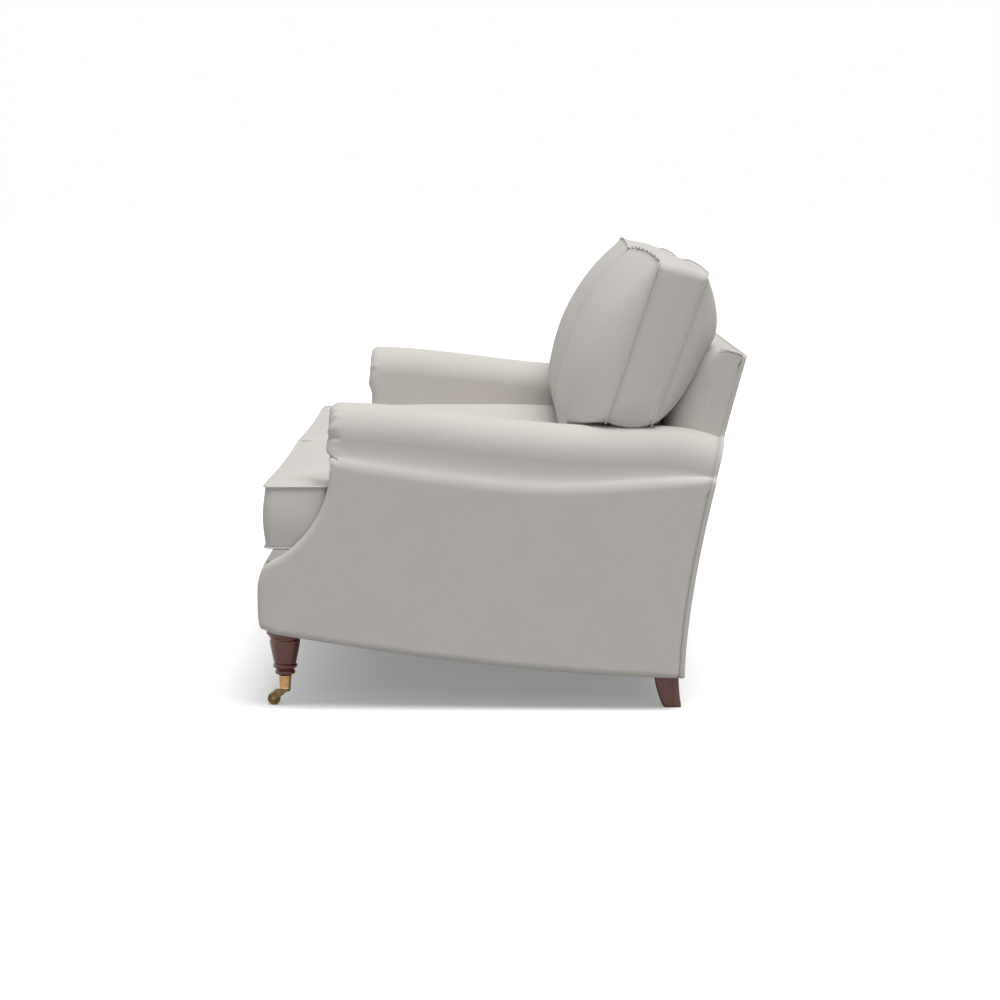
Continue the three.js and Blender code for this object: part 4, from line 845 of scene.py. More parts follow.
def deck_outline():
    """The deck's plan: the seat between the arms and its two ears in front of them."""
    rear = float(back_front_y(DECK_LOW)) - 0.3 * MM
    front = FRONT_Y + APRON_LEAN + BORDER_RETURN + 0.3 * MM
    ear, body = PANEL_INNER_X - 0.3 * MM, ARM_INNER_X - 0.3 * MM
    arm = ARM_FRONT_Y - 0.3 * MM
    half = [(0, front), (ear / 2, front), (ear, front), (ear, arm), (body, arm), (body, 0.0), (body, rear),
            (body / 2, rear), (0, rear)]
    return both_halves(np.array(half))


def dust_sheet():
    """The lining under the sofa: a sheet along the bottom edge's sweep."""
    front, rear = low("dust_cover", 1), high("dust_cover", 1)
    half = high("dust_cover", 0) - 0.5 * MM
    xs, ys = np.linspace(-half, half, 120), np.linspace(front, rear, 60)
    x, y = np.meshgrid(xs, ys)
    return np.stack([x, y, bottom_edge(y) + 1.0 * MM], axis=-1)


def lining_patch(sheet):
    """The sheet as one grid, cut out round the four legs."""
    made = patch(sheet, sheet[..., :2])
    middle = sheet.reshape(-1, 3)[made["quads"]].mean(1)
    x, y = np.abs(middle[:, 0]), middle[:, 1]
    front_leg = (x > low("front_leg_right", 0)) & (y < high("front_leg_right", 1))
    rear_leg = ((x > low("rear_leg_right", 0)) & (x < high("rear_leg_right", 0))
                & (y > low("rear_leg_right", 1)))
    made["quads"] = made["quads"][~(front_leg | rear_leg)]
    return made


# Loose cushions

SEAT_PLAN = {"x": (0.75 * MM, ARM_INNER_X - 1.5 * MM, PANEL_INNER_X - 7.5 * MM),
             "y": (FRONT_Y + 15 * MM, float(back_front_y(DECK_TOP + 4 * MM)) - 1.5 * MM),
             "ear": (FRONT_Y + 15 * MM, ARM_FRONT_Y - 1.5 * MM), "corner": 20 * MM}
SEAT = {"low": DECK_TOP + 4 * MM, "high": DECK_TOP + 123 * MM, "draw": 5 * MM, "bulge": 6 * MM}
SEAT_CROWN = 36 * MM

# Corners of the back cushion's end panel in Y and Z: rear edge low and high, front edge low and high
END_BACK = np.array([(292.9, 565.1), (402.3, 862.5)]) * MM
END_FRONT = np.array([(204.9, 570.1), (309.3, 887.4)]) * MM
END_THICK = 93 * MM
EAR_HEIGHT = float(np.linalg.norm(END_BACK[1] - END_BACK[0]))
BACK_DROP = 92 * MM
BACK_PLAN = {"x": (0.75 * MM, ARM_INNER_X - 1.5 * MM, OUTER_X - 48 * MM), "y": (-BACK_DROP, EAR_HEIGHT),
             "ear": (0.0, EAR_HEIGHT), "corner": 16 * MM}
BACK = {"low": 0.0, "high": END_THICK, "draw": 0.0, "bulge": 5 * MM}
BACK_FRONT_CROWN, BACK_REAR_CROWN = 93 * MM, 66 * MM
BACK_LEAN = float((END_BACK[1, 0] - END_BACK[0, 0]) / (END_BACK[1, 1] - END_BACK[0, 1]))

# The zip's distance from the body's ends, the welts' distance from the seams, how far from a corner
# the boxing swells, and how the cloth behaves while the filling is blown up
ZIP_INSET = 60 * MM
WELT_LIFT = 2.4 * MM
SEAM_MARGIN = 24 * MM
CLOTH = {"quality": 4, "mass": 0.3, "tension_stiffness": 12, "compression_stiffness": 12,
         "shear_stiffness": 4, "bending_stiffness": 0.35, "use_pressure": True,
         "uniform_pressure_force": 4, "vertex_group_mass": "held", "shrink_min": -0.03}
SMOOTHINGS = 40


def stations(breaks, spacing):
    """Steps between breaks, closer near each break: u less 0.6 sin(2 pi u) / 2 pi, and the place of
    each break."""
    parts, marks = [], [0]
    for a, b in zip(breaks, breaks[1:]):
        count = max(int(round((b - a) / spacing)), 1) if b > a else 0
        u = np.linspace(0, 1, count + 1)[:-1]
        parts.append(a + (b - a) * (u - 0.6 * np.sin(2 * math.pi * u) / (2 * math.pi)))
        marks.append(marks[-1] + count)
    return np.concatenate([*parts, [breaks[-1]]]), marks


def puff(distance, reach, power=2.0):
    """How full a face is at a distance from its seam: a superellipse, 0 at the seam and 1 from its
    reach on, (1 - (1 - d / reach) ** power) ** (1 / power)."""
    return (1 - (1 - np.clip(distance / reach, 0, 1)) ** power) ** (1 / power)


def crowned(distance, reach, power):
    """The same with a gentler start: 1 - (1 - d / reach) ** power."""
    return 1 - (1 - np.clip(distance / reach, 0, 1)) ** power


def inner_corner_distance(plan, x, y):
    """Distance to the seam that runs in from the end of the body to the ear: its inner corner."""
    x1, y_ear = plan["x"][1], plan["ear"][0]
    return np.where(x > x1, y - y_ear, np.where(y < y_ear, x1 - x, np.hypot(x1 - x, y - y_ear)))


def round_corner(x, y, corner, side, radius):
    """Bends the square corner of a grid to a quarter circle: within its radius, shares a and b
    become a sqrt(1 - b b / 2) and b sqrt(1 - a a / 2)."""
    a = np.clip(1 - (corner[0] - x) * side[0] / radius, 0, 1)
    b = np.clip(1 - (corner[1] - y) * side[1] / radius, 0, 1)
    inside = (a > 0) & (b > 0)
    a_new, b_new = a * np.sqrt(1 - b * b / 2), b * np.sqrt(1 - a * a / 2)
    x = np.where(inside, corner[0] - side[0] * radius * (1 - a_new), x)
    y = np.where(inside, corner[1] - side[1] * radius * (1 - b_new), y)
    return x, y


def cushion_shape(plan, form, crown_low, crown_high, swell, spacing=10 * MM):
    """A filled cushion over an L-shaped plan: a body with one ear, as arrays of its plan and its
    thickness. Faces: as the two crowns say. Sides: drawn in by 4 t (1 - t), and swelling by
    sin(pi s) between the two seams."""
    x0, x1, x_ear = plan["x"]
    (y0, y1), (ear0, ear1) = plan["y"], plan["ear"]
    xs, x_marks = stations([x0, x1, x_ear], spacing)
    ys, y_marks = stations([y0, ear0, ear1, y1], spacing)
    x, y = np.meshgrid(xs, ys, indexing="ij")
    low_w, high_w = form["low"] - crown_low(x, y), form["high"] + crown_high(x, y)
    s, t = share(x, x0, x1), share(y, y0, y1)
    px = x + form["draw"] * 4 * t * (1 - t) * (1 - 2 * s)
    py = y + form["draw"] * 4 * s * (1 - s) * (1 - 2 * t)
    turns = [((x0, y0), (-1, -1), 0.6), ((x0, y1), (-1, 1), 0.6), ((x_ear, ear0), (1, -1), 1.0)]
    turns += ([((x_ear, ear1), (1, 1), 0.5), ((x1, y1), (1, 1), 1.0)] if ear1 < y1
              else [((x_ear, ear1), (1, 1), 1.0)])
    turns += [((x1, y0), (1, -1), 1.0)] if ear0 > y0 else []
    dx, dy = px - x, py - y
    qx, qy = x, y
    for corner, side, scale in turns:
        qx, qy = round_corner(qx, qy, corner, side, plan["corner"] * scale)
    px, py = qx + dx, qy + dy

    # The outline in steps of the grid: along the body, round the ear, and back
    n1, n_ear = x_marks[1:]
    j0, j1, j_end = y_marks[1:]
    stops = np.array([(0, 0), (n1, 0), (n1, j0), (n_ear, j0), (n_ear, j1), (n1, j1), (n1, j_end),
                      (0, j_end), (0, 0)])
    i, j = np.concatenate([a + np.sign(b - a) * np.arange(np.abs(b - a).sum())[:, None]
                           for a, b in zip(stops, stops[1:])]).T
    line = np.stack([px[i, j], py[i, j]], axis=1)
    ahead = np.roll(line, -1, 0) - np.roll(line, 1, 0)
    ahead /= np.linalg.norm(ahead, axis=1, keepdims=True)
    outward = np.stack([ahead[:, 1], -ahead[:, 0]], axis=1)
    used = (np.arange(n_ear)[:, None] < n1) | ((np.arange(j_end) >= j0) & (np.arange(j_end) < j1))[None]
    return {"x": px, "y": py, "low": low_w, "high": high_w, "used": used, "line": line,
            "outward": outward, "swell": swell(x[i, j], y[i, j])}


def blurred(values, times=3):
    """Values round a ring, softened by averaging each with its neighbours."""
    for _ in range(times):
        values = (values + np.roll(values, 1, 0) + np.roll(values, -1, 0)) / 3
    return values


def cushion_patches(shape, form, place, rows=13):
    """The two faces and the boxing of a cushion shape, as grids set in place."""
    top = place(shape["x"], shape["y"], shape["high"])
    under = place(shape["x"], shape["y"], shape["low"])
    cloth = np.stack([shape["x"], shape["y"]], axis=-1)
    patches = []
    for points, shift in ((top, 0.0), (under, 5.0)):
        made = patch(points, cloth + (shift, 0))
        made["quads"] = made["quads"][shape["used"].ravel()]
        patches.append(made)
    s = np.linspace(0, 1, rows)[:, None]
    s = s - 0.5 * np.sin(2 * math.pi * s) / (2 * math.pi)
    out = form["bulge"] * blurred(shape["swell"].astype(float)) * np.sin(math.pi * s)
    out = out * (0.75 + 0.25 * np.cos(math.pi * (s - 0.45)))
    x = shape["line"][:, 0] + shape["outward"][:, 0] * out
    y = shape["line"][:, 1] + shape["outward"][:, 1] * out
    w = form["low"] + (form["high"] - form["low"]) * s + 0 * x
    run = np.concatenate([[0], np.cumsum(np.linalg.norm(np.diff(shape["line"], axis=0), axis=1))])
    side = patch(place(x, y, w), np.stack(np.broadcast_arrays(run + 10.0, w), axis=-1), ring=True)
    return [*patches, side]


def seat_place(x, y, w):
    """The seat cushion lies flat: its thickness is its height."""
    return np.stack([x, y, w], axis=-1)


def back_place(x, h, w):
    """The back cushion stands on its end panel: bilinear between the panel's four corners. Its top
    bows up by 9 mm sin(pi x), its front seam leans forward by 20 mm towards the sofa's middle and
    ripples, and the ear's foot hangs 9 mm low between its seams. What swells in front of the foot hangs
    by 0.18 of its reach."""
    x, v, s = np.broadcast_arrays(np.asarray(x, float), h / EAR_HEIGHT, w / END_THICK)
    weights = (1 - v) * (1 - s), (1 - v) * s, v * (1 - s), v * s
    corners = END_BACK[0], END_FRONT[0], END_BACK[1], END_FRONT[1]
    yz = sum(weight[..., None] * corner for weight, corner in zip(weights, corners))
    along, front = share(x, 0, BACK_PLAN["x"][2]), np.clip(s, 0, 1)
    y = yz[..., 0] - 20 * MM * (1 - along) * front * eased(v, 0.3, 1)
    ripple = ((1.9 * np.sin(57 * x) + 1.6 * np.sin(103 * x + 1.3)) * MM * eased(along, 0.02, 0.1)
              * (1 - eased(along, 0.9, 0.99)))
    z = (yz[..., 1] + 9 * MM * np.sin(math.pi * along) * np.clip(v, 0, 1) ** 4
         + ripple * eased(v, 0.93, 1) * front ** 6
         - 9 * MM * eased(x, 870 * MM, 920 * MM) * 4 * front * (1 - front) * (1 - eased(v, 0, 0.1))
         - 0.18 * END_THICK * np.maximum(s - 1, 0) * (1 - eased(v, 0, 0.4)))
    return np.stack([x, y, z], axis=-1)


def room_behind(points):
    """Distance in Y from points to the front of the upholstered back, less 2 mm: its plain face,
    its rounded top, 75 mm (1 - t) squared, and its rounded ends. Over the back it is free."""
    x, y, z = np.moveaxis(points, -1, 0)
    into = np.clip(x - (BACK_HALF - BACK_END_ROUND), 0, BACK_END_ROUND)
    inset = BACK_END_ROUND - np.sqrt(BACK_END_ROUND ** 2 - into ** 2)
    corner = np.maximum(BACK_ROUND - inset, 6 * MM)
    t = np.sqrt(share(z, BACK_TOP - inset, BACK_TOP - inset - corner))
    room = back_front_y(z) + inset + corner * (1 - t) ** 2 - 2 * MM - y
    return np.where(z > BACK_TOP - inset + 2 * MM, 1.0, room)


def back_rear_crown(x, h):
    """How far the rear face swells behind its seams: as full as its filling makes it, or as far as
    the upholstered back lets it, found by moving backwards 1 mm at a time."""
    x0, _, x_ear = BACK_PLAN["x"]
    top, foot = BACK_PLAN["y"][1] - h, h - BACK_PLAN["y"][0]
    wanted = (BACK_REAR_CROWN * crowned(top, 150 * MM, 2) * puff(x_ear - x, 60 * MM) * puff(foot, 60 * MM)
              * puff(inner_corner_distance(BACK_PLAN, x, h), 150 * MM) * crowned(x - x0, 100 * MM, 2)
              * (1 - 0.15 * eased(top, 110 * MM, 170 * MM)))
    steps = np.arange(1, 80)[:, None, None] * MM
    fits = room_behind(back_place(x[None], h[None], BACK["low"] - steps)) > 0
    most = np.cumprod(fits, axis=0).sum(0) * MM
    return np.minimum(wanted, most)


def back_front_crown(x, h):
    """How far the front face swells: fast from its ends and its foot, slower from its top."""
    x0, _, x_ear = BACK_PLAN["x"]
    top, foot = BACK_PLAN["y"][1] - h, h - BACK_PLAN["y"][0]
    return (BACK_FRONT_CROWN * crowned(top, 270 * MM, 2.1) * puff(x_ear - x, 170 * MM)
            * puff(foot, 125 * MM) * puff(inner_corner_distance(BACK_PLAN, x, h), 5 * MM)
            * puff(x - x0, 130 * MM))


def seat_fullness(x, y):
    """How full the seat cushion is: 1 - (1 - d / 280 mm) ** 2.1, d a smooth least distance to its
    edges, from the sum of exp(-d / 25 mm) over them."""
    x0, x1, x_ear = SEAT_PLAN["x"]
    (y0, y1), ear1 = SEAT_PLAN["y"], SEAT_PLAN["ear"][1]
    corners = np.array([(x0, y0), (x_ear, y0), (x_ear, ear1), (x1, ear1), (x1, y1), (x0, y1)])
    soft, total = 25 * MM, np.zeros_like(x)
    for start, end in zip(corners, np.roll(corners, -1, 0)):
        dx, dy = end - start
        along = np.clip(((x - start[0]) * dx + (y - start[1]) * dy) / (dx * dx + dy * dy), 0, 1)
        total += np.exp(-np.hypot(x - start[0] - along * dx, y - start[1] - along * dy) / soft)
    return crowned(np.clip(-soft * np.log(np.maximum(total, 1e-30)), 0, None), 280 * MM, 2.1)


def seat_swells(x, y):
    """Where the seat cushion's boxing swells: along its front and round its ear."""
    x1, front, ear_end = SEAT_PLAN["x"][1], SEAT_PLAN["y"][0], SEAT_PLAN["ear"][1]
    return (((y < front + SEAM_MARGIN) & (x > SEAM_MARGIN))
            | ((x > x1 + SEAM_MARGIN) & (y < ear_end - SEAM_MARGIN)))


def back_swells(x, h):
    """Where the back cushion's boxing swells: along its top and round its ear."""
    x1, top = BACK_PLAN["x"][1], BACK_PLAN["y"][1]
    return ((h > top - SEAM_MARGIN) & (x > SEAM_MARGIN)) | ((x > x1 + SEAM_MARGIN) & (h > SEAM_MARGIN))


def seat_freedom(points):
    """How freely the seat cushion's points move: its top, less so under the back cushions, and the
    open part of its boxing. Its seams are held."""
    x, y, z = np.abs(points[:, 0]), points[:, 1], points[:, 2]
    x1, front = SEAT_PLAN["x"][1], SEAT_PLAN["y"][0]
    above = eased(z, SEAT["high"] + 0.5 * MM, SEAT["high"] + 8 * MM)
    under_back = 1 - 0.9 * eased(y, 60 * MM, 140 * MM)
    between = (eased(z, SEAT["low"] + 1 * MM, SEAT["low"] + 20 * MM)
               * (1 - eased(z, SEAT["high"] - 20 * MM, SEAT["high"] - 1 * MM)))
    open_side = np.maximum(1 - eased(y, front + 15 * MM, front + 30 * MM),
                           0.35 * eased(x, x1 + 40 * MM, x1 + 90 * MM))
    return np.clip(0.6 * above * under_back + 0.35 * between * open_side, 0, 1)


def back_freedom(points):
    """How freely the back cushion's points move: its front face, but not at its foot or beside the arm."""
    x, y, z = np.abs(points[:, 0]), points[:, 1], points[:, 2]
    x1 = BACK_PLAN["x"][1]
    thick = END_BACK[0, 0] + BACK_LEAN * (z - END_BACK[0, 1]) - y
    front = eased(thick, END_THICK + 1 * MM, END_THICK + 14 * MM)
    low_part = eased(z, 500 * MM, 580 * MM)
    ends = 1 - eased(x, x1 - 30 * MM, x1) * (1 - eased(z, 560 * MM, 600 * MM))
    return 0.8 * front * low_part * ends


def mesh_points(made):
    """The places of a mesh's points."""
    points = np.zeros(len(made.data.vertices) * 3, np.float32)
    made.data.vertices.foreach_get("co", points)
    return points.reshape(-1, 3).astype(float)


def move_points(made, points):
    """Gives a mesh's points new places."""
    made.data.vertices.foreach_set("co", points.astype(np.float32).ravel())
    made.data.update()


def simulate(made, free, swell, frames):
    """Blows the cushion up by cloth simulation: pressure inside, no weight, held points stay. The
    moves are then evened out, each with its neighbours' mean, so that only soft swells are left.
    Afterwards no point lies further from its start than its share of the greatest swell."""
    start = mesh_points(made)
    group = made.vertex_groups.new(name="held")
    weights = np.round(np.clip(1 - free, 0, 1), 1)
    for weight in np.unique(weights):
        group.add(np.flatnonzero(weights == weight).tolist(), float(weight), "REPLACE")
    cloth = made.modifiers.new("Cloth", "CLOTH")
    for name, value in CLOTH.items():
        setattr(cloth.settings, name, value)
    cloth.settings.effector_weights.gravity = 0
    cloth.collision_settings.use_collision = False
    cloth.point_cache.frame_start, cloth.point_cache.frame_end = 1, frames
    scene = bpy.context.scene
    for number in range(1, frames + 1):
        scene.frame_set(number)
    shift = mesh_points(made.evaluated_get(bpy.context.evaluated_depsgraph_get())) - start
    made.modifiers.remove(cloth)
    made.vertex_groups.remove(group)
    scene.frame_set(1)
    ends = np.zeros(len(made.data.edges) * 2, np.int32)
    made.data.edges.foreach_get("vertices", ends)
    ends = ends.reshape(-1, 2)
    both = np.concatenate([ends, ends[:, ::-1]])
    count = np.bincount(both[:, 0], minlength=len(start))[:, None]
    for _ in range(SMOOTHINGS):
        around = np.stack([np.bincount(both[:, 0], shift[both[:, 1], k], len(start)) for k in range(3)],
                          axis=1)
        shift = 0.5 * shift + 0.5 * around / np.maximum(count, 1)
    length = np.linalg.norm(shift, axis=1, keepdims=True)
    most = (swell * free)[:, None]
    shift *= most * np.tanh(length / np.maximum(most, 1e-9)) / np.maximum(length, 1e-9)
    move_points(made, start + shift)


def seam_paths(shape, form, place, lift):
    """The two seams of a cushion and their outward directions: the outline at each level."""
    seam, lifted = shape["line"].T, (shape["line"] + shape["outward"] * lift).T
    found = []
    for w, up in ((form["low"], -1), (form["high"], 1)):
        level = np.full(len(shape["line"]), w)
        at = place(*lifted, level + up * lift * 0.4)
        found.append((at, at - place(*seam, level)))
    return found


def zip_patches(start, end, outward, up, width=9 * MM):
    """A closed zip between two points: a flat woven tape, a raised coil of teeth whose height is
    the size of a sine along it, and a pull tab near one end."""
    start, end, outward, up = (np.asarray(v, float) for v in (start, end, outward, up))
    length = float(np.linalg.norm(end - start))
    along = np.linspace(0, 1, int(length / (1.1 * MM)))
    across = np.array([-1, -1, -0.98, -0.36, -0.34, -0.2, 0, 0.2, 0.34, 0.36, 0.98, 1, 1]) * width / 2
    raised = np.array([-1.2, 0.15, 0.5, 0.5, 0.4, 1.0, 1.25, 1.0, 0.4, 0.5, 0.5, 0.15, -1.2]) * MM
    teeth = np.where(np.abs(across) < 0.3 * width / 2, 1.0, 0.0)
    ripple = 1 - 0.45 * np.abs(np.sin(np.arange(len(along)) * math.pi / 2))[:, None] * teeth
    points = (start + (end - start) * along[:, None])[:, None] + up * across[None, :, None]
    points = points + outward * (raised * ripple)[..., None]
    tab_at = start + (end - start) * (14 * MM / length)
    pull = []
    for t in np.linspace(0, 1, 9):
        half = 1.6 + 1.0 * math.sin(math.pi * min(t * 1.2, 1)) if t < 1 else 1.2
        middle = tab_at + (end - start) / length * t * 18 * MM + outward * (2.2 - 0.6 * t) * MM
        pull.append([middle + up * half * MM * a + outward * 0.5 * MM * b
                     for a, b in ((-1, -1), (1, -1), (1, 1), (-1, 1))])
    pull = np.array(pull)
    close = pull.mean(1, keepdims=True).repeat(4, 1)
    pull = np.concatenate([close[:1], pull, close[-1:]])
    return [patch(points), patch(pull, ring=True, finish=1)]


# Legs and castors

LEG_X, LEG_Y = centre_of("front_leg_right", 0), centre_of("front_leg_right", 1)
LEG_TOP = high("front_leg_right", 2)
CUP_LOW, CUP_TOP = low("castor_cup_right", 2), high("castor_cup_right", 2)
WHEEL_R = high("castor_wheel_right", 2) / 2
WHEEL_Y = centre_of("castor_wheel_right", 1)


def in_mm(places, origin=(0, 0)):
    """Places given in millimetres from an origin, in metres."""
    return np.array(places) * MM + origin


def bead(radius, root, centre, half, count=11):
    """A turned ring: a half circle from its root out to its radius and back."""
    turn = np.linspace(math.pi / 2, -math.pi / 2, count)
    return np.stack([root + (radius - root) * np.cos(turn), centre + half * np.sin(turn)], axis=1)


def front_leg_profile():
    """The turned front leg from its top: flare, groove, vase, two rings and the spigot in the cup."""
    from_top, from_cup = (0, LEG_TOP), (0, CUP_TOP)
    vase_low = CUP_TOP + 25 * MM
    vase = bezier([(30.5 * MM, LEG_TOP - 28 * MM), (31.2 * MM, (LEG_TOP + vase_low) / 2 + 4 * MM),
                   (22 * MM, vase_low)], np.linspace(0, 1, 22))
    groove = bezier(in_mm([(31.5, -22), (28.4, -23), (28.6, -26), (30.5, -28)], from_top),
                    np.linspace(0, 1, 8))
    flare = bead(37 * MM, 32 * MM, LEG_TOP - 12 * MM, 6 * MM, 15)
    neck = bezier(in_mm([(21, 15.6), (17.6, 13.5), (17.5, 11.4)], from_cup), np.linspace(0, 1, 5))
    return np.concatenate([
        in_mm([(0, 0), (31, 0), (32.5, -1), (32, -5.8)], from_top), flare, in_mm([(32, -18.5)], from_top),
        groove, vase, in_mm([(21.4, 24.4)], from_cup),
        bead(24.5 * MM, 21 * MM, CUP_TOP + 20 * MM, 4 * MM), neck,
        bead(20.5 * MM, 17 * MM, CUP_TOP + 7 * MM, 4 * MM),
        in_mm([(14, 2.6), (12.6, 0.6), (10.6, 0.3)], from_cup), in_mm([(9, 6.5), (0, 6.5)], (0, CUP_LOW))])


def cup_profile():
    """The tapering brass ferrule: rolled rim, plain wall, stepped foot."""
    return in_mm([(0, 4), (9.2, 4), (10.6, 27), (10.9, 27.8), (11.8, 28.2), (12.7, 27.6), (12.9, 26.8),
                  (12.5, 25.9), (12.35, 25.2), (10.9, 4), (10.8, 3.1), (11.2, 2.7), (11.3, 1.2), (10.9, 0.4),
                  (10.2, 0), (4.4, 0), (0, 0)], (0, CUP_LOW))


def upright_cut(outline, x0, x1, rim):
    """A plate of metal cut in Y and Z, its edges eased, between two planes of X."""
    made = plate(outline, outline.mean(0), rim, abs(x1 - x0), to_side(x1))
    if x1 < x0:
        made["points"][:, 0] = 2 * x1 - made["points"][:, 0]
    return made


def horn_patches():
    """The castor's fork: a turned plate, a bridge over the wheel and two cheeks with round ends."""
    top = CUP_LOW - 0.4 * MM
    under = top - 4 * MM
    disc = turned(in_mm([(0, 0), (8.6, 0), (9.6, 0.5), (10, 1.4), (10, 2.6), (9.6, 3.5), (8.8, 4), (4, 4),
                         (4, 4.4), (0, 4.4)], (0, under)), (LEG_X, LEG_Y), 48)
    inner, thick = 7.4 * MM, 2.5 * MM
    arc = np.linspace(0, math.pi, 15)
    tail = bezier([(WHEEL_Y + 6 * MM, WHEEL_R), (LEG_Y - 6 * MM, WHEEL_R + 6 * MM),
                   (LEG_Y + 3 * MM, under)], np.linspace(0, 1, 9))[1:]
    head = bezier([(LEG_Y + 3 * MM, top - 0.8 * MM), (WHEEL_Y, top - 0.4 * MM),
                   (WHEEL_Y - 5.5 * MM, top - 3.4 * MM), (WHEEL_Y - 6 * MM, WHEEL_R)], np.linspace(0, 1, 14))
    ends = np.stack([WHEEL_Y - 6 * MM * np.cos(arc), WHEEL_R - 6 * MM * np.sin(arc)], axis=1)
    outline = np.concatenate([ends, tail, head[:-1]])
    cheeks = [upright_cut(outline, LEG_X + side * inner, LEG_X + side * (inner + thick), 0.8 * MM)
              for side in (-1, 1)]
    bridge = np.array([(LEG_Y + 3 * MM, under + 0.2 * MM), (LEG_Y + 3 * MM, top - 0.9 * MM),
                       (WHEEL_Y + 4 * MM, top - 0.9 * MM), (WHEEL_Y + 1 * MM, top - 1.9 * MM),
                       (WHEEL_Y + 1 * MM, under + 0.4 * MM)])
    roof = bolster(bridge, inner + 0.5 * MM, 0.2 * MM, columns=4, steps=3)
    roof["points"][:, 0] += LEG_X
    return [disc, *cheeks, roof]


def across_turned(half, sides, radial=1.0):
    """A surface turned on the wheel's axis from half of its profile, radii and places along X in
    millimetres, and the same half mirrored; its radii may be scaled."""
    profile = np.array(half + [(r, -x) for r, x in half[-2::-1]]) * MM * (radial, 1)
    made = turned(profile, (0, 0), sides)
    x, y, along = made["points"].T
    made["points"] = np.stack([LEG_X + along, WHEEL_Y + x, WHEEL_R + y], axis=1)
    return made


def wheel_patch():
    """The small brass wheel: rounded tread, thin web on each side and a raised hub."""
    half = [(0, 6.9), (4.3, 6.9), (4.8, 6.5), (5.0, 5.9), (5.6, 5.5), (8.4, 5.5), (9.2, 5.9), (9.8, 6.6),
            (10.4, 6.9), (11.2, 6.8), (12.1, 6.3), (12.7, 5.3), (12.95, 4.0), (13, 2.2), (13, 0)]
    return across_turned(half, 56, WHEEL_R / (13 * MM))


def axle_patch():
    """The axle: a plain pin between two domed rivet heads."""
    return across_turned([(0, 12.2), (1.6, 12.0), (3.1, 11.3), (3.9, 10.5), (4, 10.1), (2.4, 10.0),
                          (2.4, 0)], 32)


def rear_leg_patch():
    """The short sabre leg: its front and rear lines are quadratic curves, its section a rectangle
    with round corners, a superellipse of the eighth power, eased in at the foot."""
    x = centre_of("rear_leg_right", 0)
    wide = high("rear_leg_right", 0) - x
    top, front = high("rear_leg_right", 2), low("rear_leg_right", 1)
    foot_rear = front + 56 * MM
    t = np.linspace(0, 1, 26)
    lead = bezier([(foot_rear - 36 * MM, 0), (front + 6 * MM, top / 3), (front, top)], t)
    trail = bezier([(foot_rear, 0), (front + 50 * MM, top / 2), (front + 50 * MM, top)], t)
    z = np.linspace(0, top, 28)
    ahead, behind = np.interp(z, lead[:, 1], lead[:, 0]), np.interp(z, trail[:, 1], trail[:, 0])
    ease = 1.2 * MM * (1 - np.sqrt(1 - (1 - share(z, 0, 1.2 * MM)) ** 2))
    turn = np.linspace(0, 2 * math.pi, 72, endpoint=False)
    c, s = np.cos(turn), np.sin(turn)
    scale = (np.abs(c) ** 8 + np.abs(s) ** 8) ** (-1 / 8)
    middle, half = (ahead + behind) / 2, (behind - ahead) / 2 - ease
    ring = np.stack([x + (wide - ease)[:, None] * c * scale, middle[:, None] + half[:, None] * s * scale,
                     np.broadcast_to(z[:, None], (len(z), len(turn)))], axis=-1)
    ends = [np.broadcast_to(ring[k].mean(0), (1, *ring[k].shape)) for k in (0, -1)]
    return patch(np.concatenate([ends[0], ring, ends[1]]), ring=True)


# Operators

# The view: place and turn of the camera, brightness of the sky and of the floor, and the strength,
# spread and tilt of each light
CAMERA_PLACE, CAMERA_TURN = (6.401, -0.006, 1.0565), (83.33, 0.0, 90.0)
SKY = 0.28
FLOOR_BOUNCE, FLOOR_GLOW = 0.38, 0.25
LAMPS = (("ceiling_light", 2.7, 45.0, (-12.0, 14.0, 0.0)),
         ("front_light", 0.4, 60.0, (35.0, 0.0, 0.0)),
         ("side_light", 0.35, 60.0, (0.0, 75.0, 0.0)))


def settle(made, body, slot, *nodes, padded=None):
    """A finished piece rides on its body and stands for its CAD nodes, which it hides. Its slot is not used.
    """
    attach(made, body)
    if nodes:
        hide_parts(*nodes)


def fitted(name, patches, body, slot, *nodes, side=1, padded=None):
    """Makes a piece with the material of its slot and settles it."""
    made = piece(name, patches, [finish_for(slot)], side)
    settle(made, body, slot, *nodes, padded=padded)
    return made


class SOFA_OT_finishes(Operator):
    """Make the cloth, wood and metal materials, and give the carried-over CAD nodes theirs"""

    bl_idname = "sofa.finishes"
    bl_label = "Finishes"

    def execute(self, context):
        make_finishes(context.scene.sofa_sizes, context.scene.sofa_colours)
        for row in frame["record"]["subparts"]:
            slots = frame["nodes"][row["node"]].data.materials
            slots.clear()
            slots.append(finish_for(row["material_slot"]))
        return {"FINISHED"}


